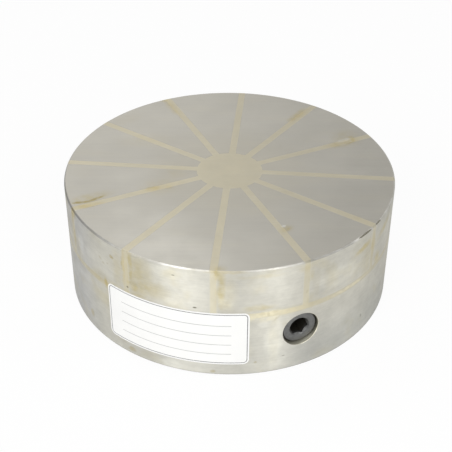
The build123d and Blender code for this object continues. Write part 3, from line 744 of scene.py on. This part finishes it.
def make_ground_steel(pole):
    """A pole: a ground work face and a turned side, with the marks of use that reach it."""
    finish = Finish(pole + "_steel")
    chosen = settings("chuck_finishes")
    low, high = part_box(pole)
    turned = math.atan2((low.x + high.x) / 2, -(low.y + high.y) / 2)
    middle = math.degrees(turned - settings("chuck_stage").azimuth)
    half_sector = 180.0 / len(numbered("pole")) + 4.0
    where = Round(finish, high.z, low.z, middle, half_sector)
    side = Side(finish, where)
    grinding = finish.noise(finish.stretched(where.laid, 45 * MM, chosen.grinding_pitch, 1.0), detail=3.0)
    clouds = finish.noise(where.laid, 24 * MM, detail=4.0)
    haze = finish.noise(finish.stretched(where.laid, 30 * MM, 9 * MM, 1.0), detail=3.0)
    top_colour = finish.shade(
        tuple(chosen.ground_steel),
        finish.tone(clouds, 0.03),
        finish.tone(grinding, 0.02),
        finish.tone(haze, 0.02),
    )
    right, away = finish.split(where.laid)[:2]
    slanting = finish.math("ADD", finish.math("MULTIPLY", right, 0.6), away)
    # Painted light and shade on the work face: lighter to the left, further away and at the near left
    top_colour = finish.shade(
        top_colour,
        finish.between(right, -55 * MM, 45 * MM, 1.055, 0.99),
        finish.between(away, -10 * MM, 50 * MM, 1.0, 1.035),
        finish.between(slanting, -45 * MM, -85 * MM, 1.0, 1.05),
    )
    by_hub = finish.between(where.radius, 48 * MM, 24 * MM, 0.0, 0.10)
    stained = finish.between(haze, 0.48, 0.72, 0.0, 0.06)
    top_colour = finish.tinted(finish.math("ADD", by_hub, stained), top_colour, chosen.film)
    fine, slow = finish.math("MULTIPLY", grinding, 0.3), finish.math("MULTIPLY", haze, 1.2)
    top_height = finish.math("ADD", fine, slow)
    top_rough = finish.between(clouds, 0.3, 0.7, 0.40, 0.45)
    return steel_surface(
        finish,
        where,
        finish.mix(where.on_side, top_colour, side.colour),
        choose(finish, where.on_side, top_rough, side.rough),
        choose(finish, where.on_side, top_height, side.height),
    )


def grain_direction(finish, where):
    """The way that reflections spread: up on the side, across the marks on the top."""
    turn = settings("chuck_stage").azimuth
    across = (-math.sin(turn), math.cos(turn), 0.0)
    mixed = finish.node(
        "ShaderNodeMix",
        {0: where.on_side, 4: across, 5: (0.0, 0.0, 1.0)},
        data_type="VECTOR",
    )
    return mixed.outputs[1]


def make_turned_steel():
    """The housing: turned side and foot, bored key hole with painted light and shade on its wall, and the
    marks of use.
    """
    finish = Finish("housing_steel")
    chosen = settings("chuck_finishes")
    where = Round(finish, HOUSING_HIGH.z, HOUSING_LOW.z)
    side = Side(finish, where)
    outwards = finish.join(finish.math("DIVIDE", where.radius, chosen.turning_pitch))
    face_rings = finish.noise(outwards, detail=2.0)
    clouds = finish.noise(where.laid, 18 * MM, detail=4.0)
    face_colour = finish.shade(
        tuple(chosen.turned_steel),
        finish.tone(face_rings, 0.08),
        finish.tone(clouds, 0.06),
    )
    x, y, z = finish.split(finish.place())
    off_axis = finish.vector("LENGTH", finish.join(x, finish.math("SUBTRACT", z, KEY_AXIS)))
    near = finish.between(y, -0.5 * CHUCK_R, -0.6 * CHUCK_R)
    in_bore = finish.math("MULTIPLY", near, finish.between(off_axis, KEY_R + 0.5 * MM, KEY_R + 0.38 * MM))
    # Painted light and shade on the bore's wall: darker inwards, on the left and at the top, lighter towards
    # the bottom
    bore_painted_light_and_shade = finish.shade(
        finish.vector("MULTIPLY", side.colour, OILY_TINT),
        finish.between(y, -CHUCK_R, -KEY_FACE, 0.92, 0.6),
        finish.between(x, -6 * MM, 2 * MM, 0.4, 1.0),
        finish.between(z, KEY_AXIS + 1 * MM, KEY_AXIS - 5 * MM, 0.75, 1.45),
    )
    outside = finish.mix(where.on_side, face_colour, side.colour)
    return steel_surface(
        finish,
        where,
        finish.mix(in_bore, outside, bore_painted_light_and_shade),
        choose(finish, where.on_side, 0.42, side.rough),
        choose(finish, where.on_side, face_rings, side.height),
    )


# Resin
def smeared_edges(finish, where, uneven):
    """A mask of the webs' edges, where the grinding and turning smeared steel over the resin."""
    pitch = 2 * math.pi / len(numbered("pole"))
    along = finish.math("SUBTRACT", where.angle, WEB_TURN)
    turned = finish.math("WRAP", along, pitch / 2, -pitch / 2)
    off_middle = finish.math("ABSOLUTE", finish.math("MULTIPLY", where.radius, turned))
    ragged = finish.between(uneven, 0.35, 0.65, -0.1 * MM, 0.1 * MM, smooth=False)
    clear = choose(finish, where.on_side, WEB_HALF - 0.22 * MM, WEB_HALF - 0.6 * MM)
    past = finish.math("SUBTRACT", finish.math("ADD", off_middle, ragged), clear)
    outside_hub = finish.between(where.radius, HUB_R + 1 * MM, HUB_R + 2 * MM)
    return finish.math("MULTIPLY", finish.between(past, 0.0, 0.25 * MM, 0.0, 0.75), outside_hub)


def steel_by_web(finish, where):
    """The colour of the steel on either side of a web."""
    chosen = settings("chuck_finishes")
    return finish.mix(where.on_side, (*chosen.ground_steel, 1.0), (*chosen.turned_steel, 1.0))


def make_resin(piece):
    """Cast resin: ground flush on top, pale and mottled, and smeared with steel where it was turned, with
    painted light and shade across it.
    """
    finish = Finish(piece + "_resin")
    chosen = settings("chuck_finishes")
    low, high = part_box(piece)
    if piece == "resin_grid":
        where = Round(finish, high.z, low.z, math.degrees(WEB_TURN), 1.5, 360.0 / len(numbered("pole")))
    else:
        where = Round(finish, high.z, low.z)
    mottle = finish.noise(where.laid, 7 * MM, detail=5.0, roughness=0.6)
    clouds = finish.noise(where.laid, 20 * MM, detail=2.0)
    dust = finish.noise(finish.stretched(where.laid, 30 * MM, 1.2 * MM, 6 * MM), detail=3.0)
    pores = finish.noise(where.laid, 0.9 * MM, detail=1.0)
    right, away = finish.split(where.laid)[:2]
    # Painted light and shade on the resin's top: darker to the right, lighter near the front
    colour = finish.shade(
        tuple(chosen.resin),
        finish.tone(mottle, 0.045),
        finish.tone(clouds, 0.03),
        finish.between(right, -60 * MM, 60 * MM, 1.02, 0.80),
        finish.between(away, -75 * MM, -20 * MM, 1.09, 1.0),
    )
    # Painted shade on the resin's side: darker from the front round to the sides, lighter again towards the
    # back
    turned = finish.math("ABSOLUTE", where.angle)
    painted_shade_round_side = finish.between(turned, math.radians(5.0), math.radians(65.0), 1.06, 0.87)
    painted_light_at_back = finish.between(turned, math.radians(75.0), math.radians(115.0), 1.0, 1.12)
    side_colour = finish.shade(
        tuple(chosen.side_resin),
        finish.tone(mottle, 0.05),
        finish.tone(clouds, 0.04),
        painted_shade_round_side,
        painted_light_at_back,
    )
    colour = finish.mix(where.on_side, colour, side_colour)
    colour = finish.covered(finish.between(dust, 0.5, 0.8, 0.0, 0.25), colour, chosen.turned_steel)
    if piece == "resin_grid":
        colour = finish.mix(smeared_edges(finish, where, mottle), colour, steel_by_web(finish, where))
    marked, _, cover = mark(finish, where, colour, metal=False)
    height = finish.math("ADD", pores, finish.math("MULTIPLY", dust, 0.8))
    bare = finish.between(cover, 0.0, 1.0, 0.8, 0.0)
    rough = finish.between(mottle, 0.3, 0.7, 0.36, 0.48)
    return finish.surface(
        Base_Color=marked,
        Metallic=finish.math("MULTIPLY", where.on_side, bare),
        Roughness=choose(finish, where.on_side, rough, 0.58),
        Anisotropic=GRAIN,
        Tangent=grain_direction(finish, where),
        Specular_IOR_Level=0.45,
        Normal=finish.bump(height, 0.008 * MM),
    )


# Key
def make_blackened_steel():
    """The key shaft: blackened, satin on its face, with painted shade inside the socket, at its mouth and
    round the head's edge.
    """
    finish = Finish("key_steel")
    chosen = settings("chuck_finishes")
    place = finish.place()
    x, y, z = finish.split(place)
    off_axis = finish.join(x, 0.0, finish.math("SUBTRACT", z, KEY_AXIS))
    radius = finish.vector("LENGTH", off_axis)
    rings = finish.noise(finish.join(finish.math("DIVIDE", radius, 0.35 * MM)), detail=2.0)
    wear = finish.noise(place, 1.6 * MM, detail=4.0)
    specks = finish.between(finish.noise(place, 0.5 * MM, detail=1.0), 0.68, 0.74, 0.0, 0.5)
    depth = finish.math("ADD", y, KEY_FACE)
    sunk = finish.between(depth, 0.3 * MM, 2.5 * MM)
    in_socket = finish.math("MULTIPLY", sunk, finish.between(radius, SOCKET_R + 0.5 * MM, SOCKET_R))
    colour = finish.shade(tuple(chosen.blackened_steel), finish.tone(wear, 0.16), finish.tone(rings, 0.1))
    colour = finish.covered(specks, colour, KEY_SPECK)
    colour = finish.worn(colour, KEY_WORN, 0.35 * MM, 2.5 * MM)
    # Painted shade at the socket's mouth
    colour = finish.scaled(colour, finish.between(radius, SOCKET_R, SOCKET_R + 0.2 * MM, 0.55, 1.0))
    # Painted shade in the socket and round the head's edge
    outer = finish.between(radius, KEY_R - 0.85 * MM, KEY_R - 0.5 * MM)
    painted_socket_and_rim_shade = finish.math("MAXIMUM", in_socket, finish.math("MULTIPLY", outer, 0.93))
    colour = finish.covered(painted_socket_and_rim_shade, colour, KEY_PAINTED_SHADE)
    return finish.surface(
        Base_Color=colour,
        Metallic=finish.between(painted_socket_and_rim_shade, 0.0, 1.0, 1.0, 0.2),
        Roughness=finish.between(wear, 0.3, 0.7, 0.34, 0.48),
        Normal=finish.bump(rings, 0.004 * MM),
    )


def make_seal_rubber():
    """The seal ring: black rubber with a faint dull bloom."""
    finish = Finish("ring_rubber")
    bloom = finish.noise(finish.place(), 1.5 * MM, detail=4.0)
    colour = finish.shade(RUBBER, finish.tone(bloom, 0.4))
    colour = finish.worn(colour, RUBBER_WORN, 0.2 * MM, 1.5 * MM)
    return finish.surface(
        Base_Color=colour,
        Roughness=finish.between(bloom, 0.3, 0.7, 0.5, 0.7),
        Normal=finish.bump(bloom, 0.004 * MM),
    )


# Inner parts and fasteners
def make_machined(name, colour, mark_pitch, rough, metallic=1.0, depth=0.08):
    """A machined metal: rings about Z, soft clouds and a fine tooth."""
    finish = Finish(name)
    place = finish.place()
    x, y, z = finish.split(place)
    radius = finish.vector("LENGTH", finish.join(x, y))
    wave = finish.join(finish.math("DIVIDE", radius, mark_pitch), finish.math("DIVIDE", z, mark_pitch))
    rings = finish.noise(wave, detail=2.0)
    clouds = finish.noise(place, 9 * MM, detail=4.0)
    tooth = finish.noise(place, 0.4 * MM, detail=2.0)
    tinted = finish.shade(colour, finish.tone(rings, depth), finish.tone(clouds, 0.6 * depth))
    bright = tuple(0.5 * (channel + 0.75) for channel in colour)
    tinted = finish.worn(tinted, bright, 0.3 * MM, 3 * MM)
    return finish.surface(
        Base_Color=tinted,
        Metallic=metallic,
        Roughness=finish.between(clouds, 0.3, 0.7, rough - 0.06, rough + 0.06),
        Normal=finish.bump(finish.math("ADD", rings, tooth), 0.005 * MM),
    )


def make_plated(name, colour, rough):
    """A plated block: an orange-peel skin with rubbed edges."""
    finish = Finish(name)
    place = finish.place()
    peel = finish.noise(place, 1.2 * MM, detail=2.0)
    rubbed = finish.noise(place, 6 * MM, detail=5.0, roughness=0.65)
    tinted = finish.shade(colour, finish.tone(rubbed, 0.1))
    tinted = finish.worn(tinted, (0.36, 0.34, 0.31), 0.3 * MM, 3 * MM)
    return finish.surface(
        Base_Color=tinted,
        Metallic=1.0,
        Roughness=finish.between(rubbed, 0.3, 0.7, rough - 0.05, rough + 0.08),
        Normal=finish.bump(peel, 0.006 * MM),
    )


# Label
def make_film():
    """White film: faintly uneven, with four thin printed rules."""
    finish = Finish("label_film")
    chosen = settings("chuck_label")
    where = Round(finish, LABEL_HIGH.z, LABEL_LOW.z)
    mottle = finish.noise(where.laid, 11 * MM, detail=4.0)
    fibre = finish.noise(where.laid, 0.8 * MM, detail=1.0)
    colour = finish.shade(tuple(chosen.film), finish.tone(mottle, 0.012))
    arc, depth = finish.split(where.wrapped)[:2]
    edge = finish.math("ABSOLUTE", finish.math("SUBTRACT", arc, LABEL_MIDDLE))
    within = finish.between(edge, RULE_HALF_LENGTH, RULE_HALF_LENGTH - 0.4 * MM)
    rules = 0.0
    for level in RULE_LEVELS:
        offset = finish.math("ABSOLUTE", finish.math("SUBTRACT", depth, level * MM))
        rule = finish.between(offset, RULE_HALF_WIDTH, RULE_HALF_WIDTH / 2)
        rules = finish.math("MAXIMUM", rules, rule)
    printed = finish.math("MULTIPLY", finish.math("MULTIPLY", rules, within), 0.6)
    colour = finish.covered(printed, colour, chosen.ink)
    return finish.surface(
        Base_Color=colour,
        Roughness=finish.between(mottle, 0.3, 0.7, 0.30, 0.38),
        Coat_Weight=0.2,
        Coat_Roughness=0.18,
        Normal=finish.bump(fibre, 0.002 * MM),
    )


def make_ink():
    """The printed border: dark grey, thinner in places."""
    finish = Finish("label_ink")
    chosen = settings("chuck_label")
    thin = finish.noise(finish.place(), 1.4 * MM, detail=4.0)
    colour = finish.mix(
        finish.between(thin, 0.55, 0.75, 0.0, 0.35),
        (*chosen.ink, 1.0),
        (*chosen.film, 1.0),
    )
    return finish.surface(Base_Color=colour, Roughness=0.4)


# Steps
def dress(material, *nodes):
    """Gives CAD nodes one material."""
    for name in nodes:
        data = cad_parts[name].data
        data.materials.clear()
        data.materials.append(material)


def numbered(stem):
    """The names of a numbered row of nodes."""
    return sorted(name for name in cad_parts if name.startswith(stem + "_") and name[-2:].isdigit())


def clear_selection():
    """Leaves nothing selected, and object mode on."""
    if bpy.context.mode != "OBJECT":
        bpy.ops.object.mode_set(mode="OBJECT")
    bpy.ops.object.select_all(action="DESELECT")


class CHUCK_OT_finish_poles(bpy.types.Operator):
    """Gives the poles their ground and turned steel."""

    bl_idname = "chuck.finish_poles"
    bl_label = "Ground steel poles"

    def execute(self, context):
        for pole in numbered("pole"):
            dress(make_ground_steel(pole), pole)
        return {"FINISHED"}


class CHUCK_OT_finish_resin(bpy.types.Operator):
    """Gives the resin grid and the seam ring their cast resin."""

    bl_idname = "chuck.finish_resin"
    bl_label = "Cast resin"

    def execute(self, context):
        for piece in ("resin_grid", "seam_ring"):
            dress(make_resin(piece), piece)
        return {"FINISHED"}


class CHUCK_OT_finish_housing(bpy.types.Operator):
    """Gives the housing its turned steel."""

    bl_idname = "chuck.finish_housing"
    bl_label = "Turned steel housing"

    def execute(self, context):
        dress(make_turned_steel(), "housing")
        return {"FINISHED"}


class CHUCK_OT_finish_key(bpy.types.Operator):
    """Gives the key shaft its blackened steel, and the seal its rubber."""

    bl_idname = "chuck.finish_key"
    bl_label = "Key shaft"

    def execute(self, context):
        dress(make_blackened_steel(), "key_shaft")
        dress(make_seal_rubber(), "key_seal")
        return {"FINISHED"}


class CHUCK_OT_finish_fasteners(bpy.types.Operator):
    """Gives the screws, the pin and the circlip their metals."""

    bl_idname = "chuck.finish_fasteners"
    bl_label = "Fasteners"

    def execute(self, context):
        stainless = make_machined("screw_steel", (0.50, 0.50, 0.49), 0.3 * MM, 0.30)
        dress(stainless, "pole_screws", "post_screw", "stop_pin", "key_circlip", "rotor_band")
        black = make_machined("black_oxide_steel", (0.045, 0.045, 0.05), 0.3 * MM, 0.42, depth=0.15)
        dress(black, "wedge_screws", "segment_screws")
        return {"FINISHED"}


class CHUCK_OT_finish_inner_parts(bpy.types.Operator):
    """Gives the rotor, the post and the bushes their metals."""

    bl_idname = "chuck.finish_inner_parts"
    bl_label = "Inner parts"

    def execute(self, context):
        aluminium = make_machined("turned_aluminium", (0.62, 0.62, 0.62), 0.5 * MM, 0.38)
        dress(aluminium, "centre_post", "rotor_carrier")
        bronze = make_machined("bearing_bronze", (0.52, 0.34, 0.15), 0.35 * MM, 0.34)
        dress(bronze, "thrust_washer", "rotor_bush", "key_bush")
        iron = make_machined("wedge_iron", (0.36, 0.35, 0.33), 0.6 * MM, 0.44)
        dress(iron, "toothed_segment", *numbered("rotor_wedge"))
        nickel = make_plated("magnet_plating", (0.58, 0.56, 0.51), 0.22)
        dress(nickel, *numbered("magnet"))
        return {"FINISHED"}


class CHUCK_OT_make_label(bpy.types.Operator):
    """Models the label film: a sector of a tube with rounded corners, a printed border and a thickness."""

    bl_idname = "chuck.make_label"
    bl_label = "Label film"

    def execute(self, context):
        film = cut_film()
        print_border(film)
        thicken(film)
        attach(film, "chuck_body")
        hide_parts("label")
        return {"FINISHED"}


def cut_film():
    """The film's outline: part of a tube, cut at both ends, with rounded corners."""
    chosen = settings("chuck_label")
    clear_selection()
    half = math.pi * FILM_COLUMNS / FILM_FLATS
    height = LABEL_HIGH.z - LABEL_LOW.z
    bpy.ops.mesh.primitive_cylinder_add(
        vertices=FILM_FLATS,
        radius=CHUCK_R + FILM_STAND_OFF,
        depth=height,
        end_fill_type="NOTHING",
        location=(0.0, 0.0, LABEL_LOW.z + height / 2),
        rotation=(0.0, 0.0, LABEL_TURN),
    )
    film = bpy.context.active_object
    film.name = "label_film"
    film.data.name = "label_film"
    bpy.ops.object.transform_apply(location=True, rotation=True, scale=True)
    bpy.ops.object.mode_set(mode="EDIT")
    for side in (-1, 1):
        end = LABEL_TURN + side * half
        normal = (-side * math.sin(end), side * math.cos(end), 0.0)
        bpy.ops.mesh.select_all(action="SELECT")
        bpy.ops.mesh.bisect(plane_co=(0.0, 0.0, 0.0), plane_no=normal, clear_outer=True)
    bpy.ops.mesh.select_all(action="SELECT")
    bpy.ops.mesh.remove_doubles(threshold=0.01 * MM)
    bpy.ops.mesh.select_all(action="DESELECT")
    bpy.ops.object.mode_set(mode="OBJECT")
    for vertex in film.data.vertices:
        turn = math.atan2(vertex.co.y, vertex.co.x) - LABEL_TURN
        vertex.select = abs(abs(math.remainder(turn, 2 * math.pi)) - half) < 0.1 * half / FILM_COLUMNS
    bpy.ops.object.mode_set(mode="EDIT")
    bpy.ops.mesh.bevel(affect="VERTICES", offset=chosen.corner_radius, segments=6)
    return film


def print_border(film):
    """The printed border: a thin ring of faces between two insets."""
    chosen = settings("chuck_label")
    for material in (make_film(), make_ink()):
        film.data.materials.append(material)
    bpy.ops.mesh.select_all(action="SELECT")
    bpy.ops.mesh.inset(thickness=chosen.border_inset, use_boundary=True)
    film.active_material_index = 1
    bpy.ops.object.material_slot_assign()
    bpy.ops.mesh.inset(thickness=chosen.border_width, use_boundary=True)
    film.active_material_index = 0
    bpy.ops.object.material_slot_assign()
    bpy.ops.object.mode_set(mode="OBJECT")


def thicken(film):
    """The film's thickness, outwards from the side."""
    solid = film.modifiers.new("thickness", "SOLIDIFY")
    solid.thickness = settings("chuck_label").film_thickness
    solid.offset = 1.0
    bpy.ops.object.modifier_apply(modifier=solid.name)
    bpy.ops.object.shade_smooth_by_angle(angle=math.radians(30.0))


# Stage
def direction(side, elevation):
    """A unit vector towards a place round the chuck, from so far right of the camera and above the floor."""
    turn = settings("chuck_stage").azimuth + side
    level = math.cos(elevation)
    return Vector((math.sin(turn) * level, -math.cos(turn) * level, math.sin(elevation)))


def make_camera():
    """The camera of the picture."""
    chosen = settings("chuck_stage")
    back = direction(0.0, chosen.elevation)
    right = Vector((math.cos(chosen.azimuth), math.sin(chosen.azimuth), 0.0))
    up = back.cross(right)
    across = right * math.cos(chosen.roll) + up * math.sin(chosen.roll)
    upright = up * math.cos(chosen.roll) - right * math.sin(chosen.roll)
    data = bpy.data.cameras.new("picture_camera")
    data.lens = chosen.lens
    data.clip_start = 0.01
    data.clip_end = 50.0
    camera = bpy.data.objects.new("picture_camera", data)
    bpy.context.scene.collection.objects.link(camera)
    turn = Matrix((across, upright, back)).transposed().to_4x4()
    camera.matrix_world = Matrix.Translation(Vector(chosen.aim) + back * chosen.distance) @ turn
    bpy.context.scene.camera = camera


# Soft boxes: degrees right of the camera, degrees up, distance, width and height in metres, radiance, tint
SOFT_BOXES = {
    "left_box": (-27.3, 30.0, 1.6, 0.67, 1.0, 4.85, (1.0, 1.0, 0.99)),
    "right_box": (28.2, 30.0, 1.6, 0.52, 1.0, 4.3, (1.0, 1.0, 0.99)),
    "left_fill": (-78.0, 30.0, 1.6, 0.7, 1.0, 1.35, (1.0, 1.0, 0.99)),
    "right_fill": (80.0, 30.0, 1.6, 0.7, 1.0, 1.3, (1.0, 1.0, 0.99)),
    "front_box": (0.0, 62.0, 1.6, 1.4, 0.4, 1.2, (1.0, 1.0, 1.0)),
    "back_box": (204.0, 60.0, 1.6, 1.1, 0.5, 1.7, (1.0, 1.0, 1.0)),
}


def make_soft_box(name, side, elevation, distance, width, height, radiance, tint):
    """A rectangular light that faces the chuck."""
    data = bpy.data.lights.new(name, "AREA")
    data.shape = "RECTANGLE"
    data.size = width
    data.size_y = height
    data.color = tint
    data.energy = radiance * math.pi * width * height
    box = bpy.data.objects.new(name, data)
    bpy.context.scene.collection.objects.link(box)
    back = direction(math.radians(side), math.radians(elevation))
    box.location = back * distance
    box.rotation_mode = "QUATERNION"
    box.rotation_quaternion = (-back).to_track_quat("-Z", "Y")


def seen_share(tree, seen, mirrored):
    """How much of the white background a ray sees: one share for the camera, another for mirrored rays."""
    rays = tree.nodes.new("ShaderNodeLightPath")
    shares = {"Is Camera Ray": seen, "Is Glossy Ray": mirrored, "Is Transmission Ray": mirrored}
    total = None
    for name, share in shares.items():
        weight = tree.nodes.new("ShaderNodeMath")
        weight.operation = "MULTIPLY"
        tree.links.new(rays.outputs[name], weight.inputs[0])
        weight.inputs[1].default_value = share
        if total is None:
            total = weight.outputs[0]
            continue
        larger = tree.nodes.new("ShaderNodeMath")
        larger.operation = "MAXIMUM"
        tree.links.new(total, larger.inputs[0])
        tree.links.new(weight.outputs[0], larger.inputs[1])
        total = larger.outputs[0]
    return total


def make_floor():
    """A pale floor that shows white, with a trace of the chuck's shadow."""
    chosen = settings("chuck_stage")
    clear_selection()
    bpy.ops.mesh.primitive_circle_add(
        vertices=chosen.floor_sides,
        radius=chosen.floor_radius,
        fill_type="NGON",
        location=(0.0, 0.0, 0.0),
    )
    floor = bpy.context.active_object
    floor.name = "studio_floor"
    material = bpy.data.materials.new("studio_floor")
    material.use_nodes = True
    tree = material.node_tree
    shader = tree.nodes["Principled BSDF"]
    shader.inputs["Base Color"].default_value = (0.88, 0.88, 0.88, 1.0)
    shader.inputs["Roughness"].default_value = 0.9
    shader.inputs["Specular IOR Level"].default_value = 0.1
    white = tree.nodes.new("ShaderNodeEmission")
    mixed = tree.nodes.new("ShaderNodeMixShader")
    tree.links.new(seen_share(tree, FLOOR_SEEN, FLOOR_MIRRORED), mixed.inputs[0])
    tree.links.new(shader.outputs[0], mixed.inputs[1])
    tree.links.new(white.outputs[0], mixed.inputs[2])
    tree.links.new(mixed.outputs[0], tree.nodes["Material Output"].inputs["Surface"])
    floor.data.materials.append(material)


def make_world():
    """Even white light all round, seen as white by the camera and in reflections."""
    world = bpy.data.worlds.new("studio")
    world.use_nodes = True
    tree = world.node_tree
    level = tree.nodes.new("ShaderNodeMapRange")
    tree.links.new(seen_share(tree, 1.0, 1.0), level.inputs["Value"])
    level.inputs["To Min"].default_value = settings("chuck_stage").world_level
    level.inputs["To Max"].default_value = 1.0
    background = tree.nodes["Background"]
    background.inputs["Color"].default_value = (1.0, 1.0, 1.0, 1.0)
    tree.links.new(level.outputs[0], background.inputs["Strength"])
    bpy.context.scene.world = world


class CHUCK_OT_make_stage(bpy.types.Operator):
    """Makes the camera, the floor, the room light and the soft boxes."""

    bl_idname = "chuck.make_stage"
    bl_label = "Stage"

    def execute(self, context):
        make_camera()
        make_floor()
        make_world()
        for name, place in SOFT_BOXES.items():
            make_soft_box(name, *place)
        context.scene.view_settings.view_transform = "Standard"
        return {"FINISHED"}


class CHUCK_PT_panel(bpy.types.Panel):
    """Lists the chuck's settings and its steps."""

    bl_idname = "CHUCK_PT_panel"
    bl_label = "Magnetic chuck"
    bl_space_type = "VIEW_3D"
    bl_region_type = "UI"
    bl_category = "Chuck"

    def draw(self, context):
        for group in GROUPS:
            box = self.layout.box()
            held = getattr(context.scene, group)
            for name in GROUPS[group].__annotations__:
                box.prop(held, name)
        for step in STEPS:
            self.layout.operator(step.bl_idname)


GROUPS = {
    "chuck_finishes": ChuckFinishes,
    "chuck_label": ChuckLabel,
    "chuck_stage": ChuckStage,
}
STEPS = (
    CHUCK_OT_make_stage,
    CHUCK_OT_finish_poles,
    CHUCK_OT_finish_resin,
    CHUCK_OT_finish_housing,
    CHUCK_OT_finish_key,
    CHUCK_OT_finish_fasteners,
    CHUCK_OT_finish_inner_parts,
    CHUCK_OT_make_label,
)


def register():
    """Makes the settings, the steps and the panel known to Blender."""
    for name, group in GROUPS.items():
        bpy.utils.register_class(group)
        setattr(bpy.types.Scene, name, PointerProperty(type=group))
    for step in STEPS:
        bpy.utils.register_class(step)
    bpy.utils.register_class(CHUCK_PT_panel)


def unregister():
    """Takes them out again."""
    bpy.utils.unregister_class(CHUCK_PT_panel)
    for step in reversed(STEPS):
        bpy.utils.unregister_class(step)
    for name, group in reversed(GROUPS.items()):
        delattr(bpy.types.Scene, name)
        bpy.utils.unregister_class(group)


def main():
    """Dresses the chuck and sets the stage."""
    register()
    bpy.ops.chuck.make_stage()
    bpy.ops.chuck.finish_poles()
    bpy.ops.chuck.finish_resin()
    bpy.ops.chuck.finish_housing()
    bpy.ops.chuck.finish_key()
    bpy.ops.chuck.finish_fasteners()
    bpy.ops.chuck.finish_inner_parts()
    bpy.ops.chuck.make_label()


if __name__ == "__main__":
    main()
